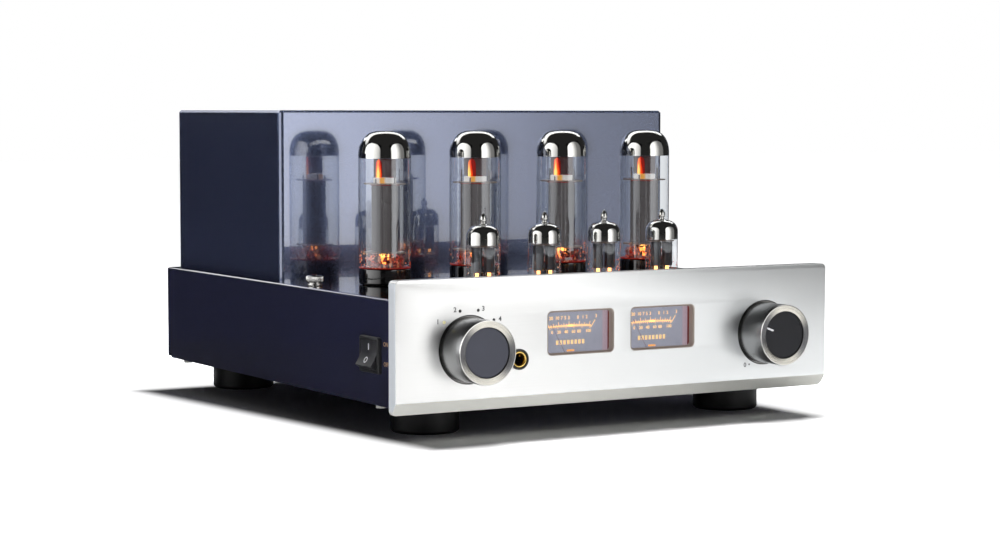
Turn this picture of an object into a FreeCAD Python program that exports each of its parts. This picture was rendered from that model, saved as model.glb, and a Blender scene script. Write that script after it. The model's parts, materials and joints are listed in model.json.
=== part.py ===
import FreeCAD, Part
import math
import os
import re
import Sketcher

# Tube integrated amplifier. X is to the right as seen from the front, Y goes back, Z is up.
# The origin lies on the table, under the middle of the case. Lengths are in millimetres.

sizes = {
    # steel case
    "footHeight": 19.5,
    "bottomPlateThickness": 1.5,
    "caseWidth": 305.4,
    "caseDepth": 340.0,
    "shellHeight": 61.8,
    "wallThickness": 1.6,
    "flangeWidth": 6.0,
    "rimWidth": 2.6,
    "rimRadius": 1.6,
    "topPlateThickness": 2.0,
    "plateGap": 0.2,
    # feet
    "footRadius": 20.7,
    "footWellRadius": 6.5,
    "footWellDepth": 10.0,
    "footChamfer": 1.5,
    "footSides": 16,
    "footSideInset": 41.7,
    "frontFootInset": 46.2,
    "rearFootInset": 33.7,
    "footScrewRadius": 2.0,
    "screwHeadRadius": 4.0,
    "screwHeadHeight": 2.4,
    "screwGap": 0.15,
    "nutRadius": 3.6,
    "nutHeight": 2.2,
    # vents in the bottom plate
    "ventLength": 34.0,
    "ventWidth": 3.2,
    "ventPitch": 13.0,
    "ventCount": 7,
    "ventRowPitch": 60.0,
    # front panel
    "panelOverhang": 3.05,
    "panelHeight": 78.1,
    "panelThickness": 8.3,
    "panelClearance": 16.35,
    "panelCornerRadius": 3.0,
    "bevelHeight": 7.15,
    "bevelDepth": 4.7,
    # transformer cover
    "coverSideGap": 5.8,
    "coverTubeGap": 33.2,
    "coverHeight": 108.7,
    "coverWall": 1.5,
    "coverRadius": 3.0,
    "coverEdge": 1.5,
    "coverSetback": 6.4,
    # transformers under the cover
    "transformerAside": 0.8,
    "powerCoreWidth": 90.0,
    "powerCoreStack": 58.0,
    "powerCoreHeight": 76.0,
    "outputCoreWidth": 72.0,
    "outputCoreStack": 46.0,
    "outputCoreHeight": 60.0,
    "coilOverhang": 13.0,
    "coilGap": 0.4,
    "wireSlotWidth": 14.0,
    "wireSlotDepth": 8.0,
    # controls on the front panel
    "knobSideInset": 45.7,
    "controlHeight": 52.7,
    "knobRadius": 18.9,
    "knobLength": 22.4,
    "knobGap": 0.4,
    "knobEdge": 0.5,

    "knobSides": 30,
    "recessRadius": 19.8,
    "recessDepth": 1.0,
    "inlayRadius": 14.4,
    "inlayThickness": 1.4,
    "inlaySink": 1.2,
    "inlayGap": 0.1,
    "pointerAngle": 160.0,
    "pointerStart": 8.8,
    "pointerWidth": 1.0,
    "pointerDepth": 0.3,
    "shaftRadius": 3.0,
    "shaftLength": 33.0,
    "shaftGrip": 12.0,
    "shaftSides": 14,
    "runningGap": 0.05,
    "bushRadius": 4.6,
    "bushLength": 7.0,
    "bushHoleRadius": 5.0,
    "selectorBodyRadius": 14.0,
    "selectorBodyLength": 17.0,
    "volumeBodyRadius": 12.5,
    "volumeBodyLength": 20.0,
    # source marker dots
    "markerCircleRadius": 23.6,
    "markerRadius": 0.9,
    "markerHoleRadius": 1.0,
    "markerLength": 12.0,
    "markerStart": 135.0,
    "markerStep": 30.0,
    "markerBoardWidth": 42.0,
    "markerBoardThickness": 1.6,
    # headphone jack
    "jackAside": 0.75,
    "jackHeight": 45.3,
    "jackBoreRadius": 3.25,
    "jackBoreDepth": 30.0,
    "jackBushRadius": 4.9,
    "jackBushReach": 1.2,
    "jackNutRadius": 6.2,
    "jackNutLength": 1.5,
    "jackBodySize": 15.0,
    "jackBodyLength": 26.0,
    # level meters
    "meterSpacing": 59.4,
    "meterHeight": 59.5,
    "windowWidth": 47.6,
    "windowHeight": 26.8,
    "windowRadius": 3.2,
    "meterMargin": 4.2,
    "meterWall": 1.4,
    "meterBodyDepth": 30.0,
    "meterSkirt": 9.0,
    "windowLip": 4.1,
    "paneThickness": 1.0,
    "dialDepth": 11.6,
    "dialThickness": 0.8,
    "dialSlotWidth": 5.5,
    "dialSlotHeight": 1.2,
    "dialSlotRise": 0.6,
    "needleLength": 30.0,
    "needleWidth": 0.6,
    "needleThickness": 0.3,
    "needleGap": 0.7,
    "needleHubRadius": 2.4,
    "needleTail": 3.0,
    "needlePivotDrop": 8.1,
    "needleRestAngle": 29.0,
    "needlePinRadius": 1.0,
    "needlePinLength": 8.0,
    "movementWidth": 22.0,
    "movementHeight": 12.0,
    # power switch on the left side
    "switchInset": 34.35,
    "switchHeight": 49.3,
    "bezelWidth": 23.9,
    "bezelHeight": 21.4,
    "bezelThickness": 2.6,
    "switchBodyDepth": 19.0,
    "switchFloor": 8.5,
    "switchWall": 1.2,
    "rockerWidth": 19.4,
    "rockerGap": 0.25,
    "rockerHalfLength": 7.6,
    "rockerRise": 3.1,
    "rockerTilt": 14.0,
    "rockerBack": 4.5,
    "rockerPivotDepth": 0.5,
    "rockerPinRadius": 1.2,
    "terminalWidth": 4.8,
    "terminalLength": 8.0,
    "terminalThickness": 0.8,
    # power tubes
    "powerTubePitch": 65.4,
    "powerRowInset": 120.8,
    "powerBulbRadius": 16.5,
    "powerBulbTop": 96.0,
    "powerDomeHeight": 15.0,
    "powerBaseRadius": 16.3,
    "powerBaseHeight": 10.4,
    "powerPinCircle": 8.7,
    "powerPinRadius": 1.2,
    "powerPinLength": 10.5,
    "spigotRadius": 3.9,
    "spigotLength": 11.0,
    "glassWall": 1.1,
    "tubeSides": 18,
    "seatGap": 0.3,
    "powerAnodeWidth": 22.0,
    "powerAnodeDepth": 13.0,
    "powerAnodeBottom": 20.5,
    "powerAnodeTop": 62.5,
    "powerMicaRadius": 14.6,
    "micaThickness": 0.8,
    "powerShieldHeight": 10.0,
    "powerGetterRadius": 9.0,
    "powerGetterTop": 78.0,
    "rodWidth": 1.2,
    "powerStemRadius": 8.0,
    # small tubes
    "smallTubePitch": 44.0,
    "smallRowInset": 54.0,
    "smallBulbRadius": 10.35,
    "smallShoulder": 34.0,
    "smallDomeTop": 39.4,
    "smallTipTop": 46.7,
    "smallTipRadius": 2.6,
    "smallTubeSides": 14,
    "smallPinCircle": 5.95,
    "smallPinRadius": 0.55,
    "smallPinLength": 6.5,
    "smallAnodeRadius": 3.7,
    "smallAnodeSpread": 8.6,
    "smallAnodeBottom": 8.0,
    "smallAnodeTop": 26.0,
    "smallMicaRadius": 8.4,
    "smallGetterRadius": 5.0,
    "smallGetterTop": 31.0,
    "stemThickness": 2.0,
    # tube sockets and the board that carries them
    "socketHeight": 12.0,
    "socketSides": 12,
    "powerSocketRadius": 13.6,
    "smallSocketRadius": 9.3,
    "socketHoleGap": 0.4,
    "pinHoleGap": 0.45,
    "pinHoleSpare": 0.8,
    "boardThickness": 1.6,
    "boardSideGap": 26.7,
    "boardFrontInset": 42.0,
    "boardDepth": 108.0,
    "capacitorRadius": 11.0,
    "capacitorHeight": 36.0,
    "capacitorPitch": 60.0,
    # thumbscrew on the deck
    "thumbscrewSideInset": 10.9,
    "thumbscrewInset": 131.4,
    "thumbscrewRadius": 5.5,
    "thumbscrewHeight": 6.5,
    "thumbscrewWasherRadius": 4.2,
    "thumbscrewWaistRadius": 2.8,
    "thumbscrewStemRadius": 1.95,
    "thumbscrewStemLength": 9.0,
    # rear wall
    "connectorHeight": 50.0,
    "inletSideInset": 40.7,
    "inletWidth": 27.0,
    "inletHeight": 20.0,
    "inletDepth": 20.0,
    "inletFlangeWidth": 48.0,
    "inletFlangeHeight": 23.0,
    "inletFlangeThickness": 3.0,
    "inletRecessWidth": 24.0,
    "inletRecessHeight": 16.4,
    "inletRecessDepth": 17.0,
    "inletBladeLength": 14.0,
    "inletScrewSpacing": 40.0,
    "postPitch": 22.0,
    "postGroupGap": 62.0,
    "postGroupX": 9.0,
    "postRadius": 3.0,
    "postBaseRadius": 7.0,
    "postBaseLength": 4.0,
    "postReach": 21.8,
    "postBoreRadius": 2.05,
    "postBoreDepth": 17.0,
    "capRadius": 7.5,
    "capLength": 11.5,
    "capGap": 0.3,
    "capSides": 10,
    "jackPitch": 22.0,
    "inputJackSideInset": 54.7,
    "inputJackRise": 18.0,
    "sleeveRadius": 4.15,
    "sleeveLength": 8.5,
    "sleeveBoreRadius": 1.9,
    "sleeveBoreDepth": 7.0,
    "inputCollarRadius": 6.0,
    "inputCollarLength": 1.6,
}

doc = FreeCAD.newDocument("TubeAmplifier")
sheet = doc.addObject("Spreadsheet::Sheet", "Dims")
for row, (alias, number) in enumerate(sizes.items(), start=1):
    sheet.set("A%d" % row, alias)
    sheet.set("B%d" % row, str(number))
    sheet.setAlias("B%d" % row, alias)
doc.recompute()

# Levels and faces of the case that many pieces share, as expressions on the sheet.
shellBottom = "(footHeight + bottomPlateThickness)"
deck = "(footHeight + bottomPlateThickness + shellHeight)"
panelFace = "(-caseDepth / 2)"
shellFront = "(-caseDepth / 2 + panelThickness)"
shellRear = "(caseDepth / 2)"
powerRow = "(-caseDepth / 2 + powerRowInset)"
smallRow = "(-caseDepth / 2 + smallRowInset)"
socketBottom = "(footHeight + bottomPlateThickness + shellHeight - socketHeight)"
coverDepth = "(caseDepth - powerRowInset - powerBulbRadius - coverTubeGap - coverSetback)"
coverMiddle = "(caseDepth / 2 - coverSetback - %s / 2)" % coverDepth
coverHalf = "(caseWidth / 2 - coverSideGap)"
knobX = "(caseWidth / 2 - knobSideInset)"
thumbscrewX = "(thumbscrewSideInset - caseWidth / 2)"
inletX = "(caseWidth / 2 - inletSideInset)"
inputJackX = "(inputJackSideInset - caseWidth / 2)"
sideCoreX = "((powerCoreWidth / 2 + %s - coverWall) / 2 + transformerAside)" % coverHalf
transformers = (("0", "powerCore"), ("-" + sideCoreX, "outputCore"), (sideCoreX, "outputCore"))
throughPanel = "(panelThickness + wallThickness)"
meterWidth = "(windowWidth + 2 * meterMargin)"
jackX = "(-(%s - recessRadius + (meterSpacing + %s) / 2) / 2 - jackAside)" % (knobX, meterWidth)
meterTall = "(windowHeight + 2 * meterMargin + meterSkirt)"
meterFront = "(-caseDepth / 2 + windowLip)"
dialFront = "(-caseDepth / 2 + dialDepth)"
needlePivot = "(meterHeight - windowHeight / 2 - needlePivotDrop)"
rockerEnd = "(rockerRise + rockerHalfLength * tan(rockerTilt))"
rockerReach = "sqrt(rockerHalfLength * rockerHalfLength + %s * %s)" % (rockerEnd, rockerEnd)
switchBodyWidth = "(rockerWidth + 2 * (rockerGap + switchWall))"
switchBodyHeight = "(2 * (%s + rockerGap / 2 + switchWall))" % rockerReach

X, Y, Z = FreeCAD.Vector(1, 0, 0), FreeCAD.Vector(0, 1, 0), FreeCAD.Vector(0, 0, 1)
upright = FreeCAD.Rotation()
facingFront = FreeCAD.Rotation(X, 90)
facingRear = FreeCAD.Rotation(X, -90)
facingLeft = FreeCAD.Rotation(-Y, Z, -X, "ZXY")
aliasPattern = re.compile(r"\b(" + "|".join(sizes) + r")\b")


def size(alias):
    return float(sheet.get(alias))


def bind(thing, prop, text):
    thing.setExpression(prop, aliasPattern.sub(r"Dims.\1", text))


def place(thing, x="0", y="0", z="0", rotation=upright):
    thing.Placement = FreeCAD.Placement(FreeCAD.Vector(), rotation)
    for axis, text in (("x", x), ("y", y), ("z", z)):
        if text != "0":
            bind(thing, "Placement.Base." + axis, text)
    return thing


# Part primitives, each with its sizes bound to the sheet.

def box(length, width, height, x="0", y="0", z="0"):
    """A block with its lowest corner at x, y, z."""
    block = doc.addObject("Part::Box", "Block")
    bind(block, "Length", length)
    bind(block, "Width", width)
    bind(block, "Height", height)
    return place(block, x, y, z)


def centredBox(length, width, height, x="0", y="0", z="0"):
    """A block centred on x and y that stands on z."""
    return box(length, width, height, "%s - (%s) / 2" % (x, length), "%s - (%s) / 2" % (y, width), z)


def cylinder(radius, height, x="0", y="0", z="0"):
    rod = doc.addObject("Part::Cylinder", "Rod")
    bind(rod, "Radius", radius)
    bind(rod, "Height", height)
    return place(rod, x, y, z)


def prism(sides, radius, height, x="0", y="0", z="0"):
    bar = doc.addObject("Part::Prism", "Bar")
    if isinstance(sides, str):
        bind(bar, "Polygon", sides)
    else:
        bar.Polygon = sides
    bind(bar, "Circumradius", radius)
    bind(bar, "Height", height)
    return place(bar, x, y, z)


def group(name, pieces):
    bundle = doc.addObject("Part::Compound", name)
    bundle.Links = pieces
    return bundle


def fuse(name, *pieces):
    union = doc.addObject("Part::MultiFuse", name)
    union.Shapes = list(pieces)
    return union


def cut(name, base, *tools):
    difference = doc.addObject("Part::Cut", name)
    difference.Base = base
    difference.Tool = tools[0] if len(tools) == 1 else group("Tools", list(tools))
    return difference


# PartDesign bodies: sketches on the body's own origin planes, pads, pockets and patterns.

def originFeature(body, role):
    return [feature for feature in body.Origin.OriginFeatures if feature.Role == role][0]


def sketch(body, role, offset, outlines):
    """A sketch on an origin plane, moved along its normal, of circles (x, y, radius) or corner lists."""
    drawing = body.newObject("Sketcher::SketchObject", "Sketch")
    drawing.AttachmentSupport = [(originFeature(body, role), "")]
    drawing.MapMode = "FlatFace"
    if offset != "0":
        bind(drawing, "AttachmentOffset.Base.z", offset)
    for outline in outlines:
        if isinstance(outline, tuple):
            drawCircle(drawing, *outline)
        else:
            drawCorners(drawing, outline)
    return drawing


def hold(drawing, geometry, point, texts):
    """Holds a point of the sketch at two bound distances from the sketch's origin."""
    for kind, ownAxis, text in (("DistanceX", -2, texts[0]), ("DistanceY", -1, texts[1])):
        if text == "0":
            drawing.addConstraint(Sketcher.Constraint("PointOnObject", geometry, point, ownAxis))
            continue
        index = drawing.addConstraint(Sketcher.Constraint(kind, -1, 1, geometry, point, 1.0))
        bind(drawing, "Constraints[%d]" % index, text)


def drawCircle(drawing, x, y, radius):
    start = FreeCAD.Vector(1.0, 1.0, 0)
    circle = drawing.addGeometry(Part.Circle(start, Z, 1.0))
    hold(drawing, circle, 3, (x, y))
    index = drawing.addConstraint(Sketcher.Constraint("Radius", circle, 1.0))
    bind(drawing, "Constraints[%d]" % index, radius)


def drawCorners(drawing, corners):
    count = len(corners)
    turns = [2 * math.pi * k / count for k in range(count)]
    starts = [FreeCAD.Vector(10 * math.cos(turn), 10 * math.sin(turn), 0) for turn in turns]
    lines = []
    for k in range(count):
        lines.append(drawing.addGeometry(Part.LineSegment(starts[k], starts[(k + 1) % count])))
    for k in range(count):
        following = lines[(k + 1) % count]
        drawing.addConstraint(Sketcher.Constraint("Coincident", lines[k], 2, following, 1))
    for k in range(count):
        hold(drawing, lines[k], 1, corners[k])


def rectangle(x0, y0, x1, y1):
    return [(x0, y0), (x1, y0), (x1, y1), (x0, y1)]


def centredRectangle(width, height, x="0", y="0"):
    half = "%s %s (%s) / 2"
    return rectangle(half % (x, "-", width), half % (y, "-", height), half % (x, "+", width),
                     half % (y, "+", height))


def eased(corners, radius):
    """A rectangle with each corner rounded in three flats."""
    outline = []
    inward = (("+", "+"), ("-", "+"), ("-", "-"), ("+", "-"))
    for (x, y), (toX, toY), start in zip(corners, inward, (180, 270, 0, 90)):
        for turn in range(start, start + 91, 30):
            outline.append(("%s %s %s + %s * cos(%d)" % (x, toX, radius, radius, turn),
                            "%s %s %s + %s * sin(%d)" % (y, toY, radius, radius, turn)))
    return outline


def manySided(x, y, radius, sides=8):
    """Corners of a regular outline that clears a circle: small true circles take too many facets."""
    corners = []
    for k in range(sides):
        turn = 360.0 * (k + 0.5) / sides
        reach = "(%s) / cos(180 / %d)" % (radius, sides)
        corners.append(("%s + %s * cos(%g)" % (x, reach, turn), "%s + %s * sin(%g)" % (y, reach, turn)))
    return corners


def pad(body, drawing, length, midplane=False):
    feature = body.newObject("PartDesign::Pad", "Pad")
    feature.Profile = drawing
    feature.Midplane = midplane
    bind(feature, "Length", length)
    doc.recompute()
    return feature


def pocket(body, drawing, length=None, towards=-1, midplane=False):
    """Cuts along the sketch's normal, or against it, to a length or through all."""
    feature = body.newObject("PartDesign::Pocket", "Pocket")
    feature.Profile = drawing
    feature.Reversed = towards > 0
    feature.Midplane = midplane
    if length is None:
        feature.Type = "ThroughAll"
    else:
        bind(feature, "Length", length)
    before = body.Shape.Volume
    doc.recompute()
    if feature.Shape.isNull() or feature.Shape.Volume > before - 0.01:
        raise ValueError("pocket in %s cuts nothing" % body.Label)
    return feature


def edgesWhere(shape, test):
    return ["Edge%d" % (k + 1) for k, edge in enumerate(shape.Edges) if test(edge.BoundBox)]


def dress(body, kind, amount, test):
    """A fillet or chamfer on the edges whose bounding boxes pass the test."""
    base = body.Tip
    feature = body.newObject("PartDesign::" + kind, kind)
    feature.Base = (base, edgesWhere(base.Shape, test))
    bind(feature, "Radius" if kind == "Fillet" else "Size", amount)
    doc.recompute()
    return feature


def linePattern(body, originals, role, length, count, backwards=False):
    feature = body.newObject("PartDesign::LinearPattern", "LinearPattern")
    feature.Originals = originals
    feature.Direction = (originFeature(body, role), [""])
    feature.Reversed = backwards
    bind(feature, "Length", length)
    if isinstance(count, str):
        bind(feature, "Occurrences", count)
    else:
        feature.Occurrences = count
    body.Tip = feature
    doc.recompute()
    return feature


def polarPattern(body, originals, angle, count):
    feature = body.newObject("PartDesign::PolarPattern", "PolarPattern")
    feature.Originals = originals
    feature.Axis = (originFeature(body, "Z_Axis"), [""])
    feature.Angle = angle
    feature.Occurrences = count
    body.Tip = feature
    return feature


def prismFeature(body, sides, radius, height, x="0", z="0", takesAway=False):
    kind = "PartDesign::SubtractivePrism" if takesAway else "PartDesign::AdditivePrism"
    feature = body.newObject(kind, "Prism")
    if isinstance(sides, str):
        bind(feature, "Polygon", sides)
    else:
        feature.Polygon = sides
    bind(feature, "Circumradius", radius)
    bind(feature, "Height", height)
    return place(feature, x, "0", z)


def newBody(label):
    return doc.addObject("PartDesign::Body", label)


# Turned pieces with tapers and domes. A profile of (radius, height) corners, anticlockwise with the axis at
# its left, is carried round the axis in flat steps: true cones and domes would need far too many facets.

def turned(profile, sides):
    rings = []
    for radius, height in profile:
        steps = [2 * math.pi * k / sides for k in range(sides)]
        rings.append([FreeCAD.Vector(radius * math.cos(a), radius * math.sin(a), height) for a in steps])
    faces = []
    for k, (radius, height) in enumerate(profile):
        following = (k + 1) % len(profile)
        if radius == 0 and profile[following][0] == 0:
            continue
        for j in range(sides):
            i = (j + 1) % sides
            corners = [rings[k][j], rings[k][i], rings[following][i], rings[following][j]]
            if radius == 0:
                corners.pop(1)
            if profile[following][0] == 0:
                corners.pop(2)
            faces.append(Part.Face(Part.makePolygon(corners + [corners[0]])))
    return Part.makeSolid(Part.makeShell(faces)).removeSplitter()


def turnedFeature(label, shape, x="0", y="0", z="0", rotation=upright):
    feature = doc.addObject("Part::Feature", label)
    feature.Shape = shape
    return place(feature, x, y, z, rotation)


# Steel case

def chassisShell():
    """Folded tray with flanges at the top and bottom, a rim round the deck, and all the wall cut-outs."""
    body = newBody("chassis_shell")
    outline = rectangle("-caseWidth / 2", shellFront, "caseWidth / 2", shellRear)
    pad(body, sketch(body, "XY_Plane", shellBottom, [outline]), "shellHeight")
    top = size("footHeight") + size("bottomPlateThickness") + size("shellHeight")
    dress(body, "Fillet", "rimRadius", lambda b: b.ZMin > top - 0.01)

    def inset(by):
        width = "caseWidth - 2 * (%s)" % by
        return rectangle("-(%s) / 2" % width, "%s + %s" % (shellFront, by), "(%s) / 2" % width,
                         "%s - %s" % (shellRear, by))

    cavityHeight = "shellHeight - topPlateThickness - 2 * wallThickness"
    cavityBottom = shellBottom + " + wallThickness"
    pocket(body, sketch(body, "XY_Plane", cavityBottom, [inset("wallThickness")]), cavityHeight, 1)
    opening = inset("(wallThickness + flangeWidth)")
    pocket(body, sketch(body, "XY_Plane", cavityBottom, [opening]), None, 1)
    pocket(body, sketch(body, "XY_Plane", cavityBottom, [opening]), None, -1)
    pocket(body, sketch(body, "XY_Plane", deck + " - topPlateThickness", [inset("rimWidth")]), None, 1)
    pocket(body, sketch(body, "XZ_Plane", "0", frontOpenings()), None, 1)
    pocket(body, sketch(body, "XZ_Plane", "0", rearOpenings()), None, -1)
    switchY = panelFace + " + switchInset"
    hole = centredRectangle(switchBodyWidth + " + 2 * plateGap", switchBodyHeight + " + 2 * plateGap",
                            switchY, "switchHeight")
    pocket(body, sketch(body, "YZ_Plane", "0", [hole]), None, -1)
    return body


def meterOutline(side, spare):
    width = "%s + %s" % (meterWidth, spare)
    height = "%s + %s" % (meterTall, spare)
    return centredRectangle(width, height, side + "meterSpacing / 2", "meterHeight - meterSkirt / 2")


def controlHoles():
    holes = [manySided(side + knobX, "controlHeight", "bushHoleRadius") for side in ("-", "")]
    return holes + [manySided(jackX, "jackHeight", "jackBushRadius + plateGap", 12)]


def frontOpenings():
    """Behind the panel: holes for the controls, the meters, and one slot for all the light pipes."""
    outlines = controlHoles() + [meterOutline(side, "2 * plateGap") for side in ("-", "")]
    low, high = markerPlace(0)[1], markerPlace(1)[1]
    half = "(markerCircleRadius * cos(markerStart - 3 * markerStep) + 2 * markerHoleRadius)"
    middle = "-" + knobX
    spare = "2 * markerHoleRadius"
    outlines.append(rectangle("%s - %s" % (middle, half), "%s - %s" % (low, spare),
                              "%s + %s" % (middle, half), "%s + %s" % (high, spare)))
    return outlines


def markerPlace(k):
    angle = "markerStart - %d * markerStep" % k
    x = "markerCircleRadius * cos(%s) - %s" % (angle, knobX)
    return x, "controlHeight + markerCircleRadius * sin(%s)" % angle


def postPlaces():
    """X of the four speaker posts: two pairs."""
    places = []
    for side in ("-", "+"):
        for k in ("-", "+"):
            places.append("(postGroupX %s postGroupGap / 2 %s postPitch / 2)" % (side, k))
    return places


def inputPlaces():
    """Centres of the six input jacks: three pairs, one above the other."""
    places = []
    for k in (-1, 0, 1):
        for side in ("-", "+"):
            places.append(("(%s + %d * jackPitch)" % (inputJackX, k),
                           "(connectorHeight %s inputJackRise / 2)" % side))
    return places


def rearOpenings():
    outlines = [centredRectangle("inletWidth + 2 * plateGap", "inletHeight + 2 * plateGap", inletX,
                                 "connectorHeight")]
    for x in postPlaces():
        outlines.append(manySided(x, "connectorHeight", "postRadius + plateGap", 6))
    for x, z in inputPlaces():
        outlines.append(manySided(x, z, "sleeveRadius + plateGap", 6))
    return outlines


def topPlate():
    """Gloss plate in the rim, with a row of holes for each kind of tube and a slot per transformer."""
    body = newBody("top_plate")
    width = "(caseWidth - 2 * rimWidth - 2 * plateGap)"
    front = shellFront + " + rimWidth + plateGap"
    back = shellRear + " - rimWidth - plateGap"
    outline = rectangle("-%s / 2" % width, front, width + " / 2", back)
    pad(body, sketch(body, "XY_Plane", deck + " - topPlateThickness", [outline]), "topPlateThickness")
    for pitch, rowY, radius in (("powerTubePitch", powerRow, "powerSocketRadius + socketHoleGap"),
                                ("smallTubePitch", smallRow, "smallSocketRadius + socketHoleGap")):
        hole = pocket(body, sketch(body, "XY_Plane", deck,
                                   [manySided("-1.5 * " + pitch, rowY, radius, 12)]))
        linePattern(body, [hole], "X_Axis", "3 * " + pitch, 4)
    slots = []
    for x, kind in transformers:
        y = "%s - (%sStack + coilOverhang) / 2" % (coverMiddle, kind)
        slots.append(centredRectangle("wireSlotWidth", "wireSlotDepth", x, y))
    slots.append(manySided(thumbscrewX, panelFace + " + thumbscrewInset", "thumbscrewStemRadius + seatGap"))
    pocket(body, sketch(body, "XY_Plane", deck, slots))
    return body


def footPlaces():
    places = []
    for y in (panelFace + " + frontFootInset", shellRear + " - rearFootInset"):
        for side in ("-", ""):
            places.append((side + "(caseWidth / 2 - footSideInset)", y))
    return places


def plateScrewPlaces():
    """Two screws along each side of the bottom plate, in the shell's lower flange."""
    places = []
    reach = "(caseWidth / 2 - wallThickness - flangeWidth / 2)"
    for side in ("-", ""):
        for y in (shellFront + " + 4 * flangeWidth", shellRear + " - 4 * flangeWidth"):
            places.append((side + reach, y))
    return places


def bottomPlate():
    body = newBody("bottom_plate")
    width = "(caseWidth - 2 * wallThickness)"
    outline = rectangle("-%s / 2" % width, shellFront + " + wallThickness", width + " / 2",
                        shellRear + " - wallThickness")
    pad(body, sketch(body, "XY_Plane", "footHeight", [outline]), "bottomPlateThickness")
    slots = []
    start = "-(ventCount - 1) * ventPitch / 2"
    for side in ("-", ""):
        slots.append(centredRectangle("ventWidth", "ventLength", start, side + "ventRowPitch / 2"))
    slot = pocket(body, sketch(body, "XY_Plane", shellBottom, slots))
    linePattern(body, [slot], "X_Axis", "(ventCount - 1) * ventPitch", "ventCount")
    holes = [manySided(x, y, "footScrewRadius + screwGap", 6) for x, y in footPlaces()]
    pocket(body, sketch(body, "XY_Plane", shellBottom, holes))
    return body


def feet():
    """Four turned feet, chamfered below, each with a well for its screw."""
    wide, tall, chamfer = size("footRadius"), size("footHeight"), size("footChamfer")
    profile = [(0, 0), (wide - chamfer, 0), (wide, chamfer), (wide, tall), (0, tall)]
    pieces = []
    for x, y in footPlaces():
        blank = turnedFeature("Blank", turned(profile, int(size("footSides"))), x, y)
        well = prism(8, "footWellRadius", "footWellDepth + 1", x, y, "-1")
        hole = prism(6, "(footScrewRadius + screwGap) / cos(30)", "footHeight + 1", x, y)
        pieces.append(cut("Foot", blank, well, hole))
    return group("feet", pieces)


def caseScrews():
    """Screws up through the feet with nuts inside, the bottom plate's screw heads, and the inlet's."""
    screws = []
    for x, y in footPlaces():
        head = prism(6, "screwHeadRadius", "screwHeadHeight", x, y, "footWellDepth - screwHeadHeight")
        shank = prism(6, "footScrewRadius", "footHeight - footWellDepth + bottomPlateThickness + nutHeight",
                      x, y, "footWellDepth")
        nut = prism(6, "nutRadius", "nutHeight", x, y, shellBottom)
        screws.append(fuse("Screw", head, shank, nut))
    for x, y in plateScrewPlaces():
        screws.append(prism(6, "screwHeadRadius * 0.8", "screwHeadHeight * 0.7", x, y,
                            "footHeight - screwHeadHeight * 0.7"))
    for side in ("-", "+"):
        head = prism(6, "screwHeadRadius * 0.7", "screwHeadHeight * 0.7")
        x = "%s %s inletScrewSpacing / 2" % (inletX, side)
        screws.append(place(head, x, shellRear + " + inletFlangeThickness", "connectorHeight", facingRear))
    return group("case_screws", screws)


def frontPanel():
    """Thick plate with a bevelled lower edge, two windows, and a shallow recess round each knob."""
    body = newBody("front_panel")
    half = "(caseWidth / 2 + panelOverhang)"
    outline = eased(rectangle("-" + half, "panelClearance", half, "panelClearance + panelHeight"),
                    "panelCornerRadius")
    pad(body, sketch(body, "XZ_Plane", "caseDepth / 2 - panelThickness", [outline]), "panelThickness")
    bottom, edge = "panelClearance", panelFace
    bevel = [(edge, bottom + " + bevelHeight"), (edge + " + bevelDepth", bottom),
             (edge + " + bevelDepth", bottom + " - 1"),
             (edge + " - 1", bottom + " - 1"), (edge + " - 1", bottom + " + bevelHeight")]
    pocket(body, sketch(body, "YZ_Plane", "0", [bevel]), None, 1, True)
    windows = []
    for side in ("-", ""):
        window = centredRectangle("windowWidth", "windowHeight", side + "meterSpacing / 2", "meterHeight")
        windows.append(eased(window, "windowRadius"))
    pocket(body, sketch(body, "XZ_Plane", "0", windows), None, 1)
    recesses = [manySided(side + knobX, "controlHeight", "recessRadius", 30) for side in ("-", "")]
    pocket(body, sketch(body, "XZ_Plane", "caseDepth / 2", recesses), "recessDepth")
    holes = controlHoles() + [manySided(x, z, "markerHoleRadius") for x, z in map(markerPlace, range(4))]
    pocket(body, sketch(body, "XZ_Plane", "0", holes), None, 1)
    seats = [meterOutline(side, "2 * plateGap") for side in ("-", "")]
    behind = "caseDepth / 2 - panelThickness"
    pocket(body, sketch(body, "XZ_Plane", behind, seats), "panelThickness - windowLip", 1)
    return body


# Transformer cover and what stands under it

def transformerCover():
    body = newBody("transformer_cover")
    front, back = "%s - coverSetback - %s" % (shellRear, coverDepth), shellRear + " - coverSetback"
    outline = eased(rectangle("-" + coverHalf, front, coverHalf, back), "coverRadius")
    pad(body, sketch(body, "XY_Plane", deck, [outline]), "coverHeight")
    low = size("footHeight") + size("bottomPlateThickness") + size("shellHeight")
    high = low + size("coverHeight")
    dress(body, "Chamfer", "coverEdge", lambda b: b.ZMin > high - 0.01)
    half = "(%s - coverWall)" % coverHalf
    inside = rectangle("-" + half, front + " + coverWall", half, back + " - coverWall")
    pocket(body, sketch(body, "XY_Plane", deck, [inside]), "coverHeight - coverWall", 1)
    return body


def transformerCores():
    """Laminated cores: a block with two windows, each a sixth of its width, beside a centre leg."""
    cores = []
    for x, kind in transformers:
        wide, stack, tall = kind + "Width", kind + "Stack", kind + "Height"
        block = centredBox(wide, stack, tall, x, coverMiddle, deck)
        windows = []
        for side in ("-", "+"):
            windowX = "%s %s %s / 4" % (x, side, wide)
            windowZ = "%s + %s / 6" % (deck, wide)
            windows.append(centredBox(wide + " / 6", stack + " + 2", "%s - %s / 3" % (tall, wide), windowX,
                                      coverMiddle, windowZ))
        cores.append(cut("Core", block, *windows))
    return group("transformer_cores", cores)


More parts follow.
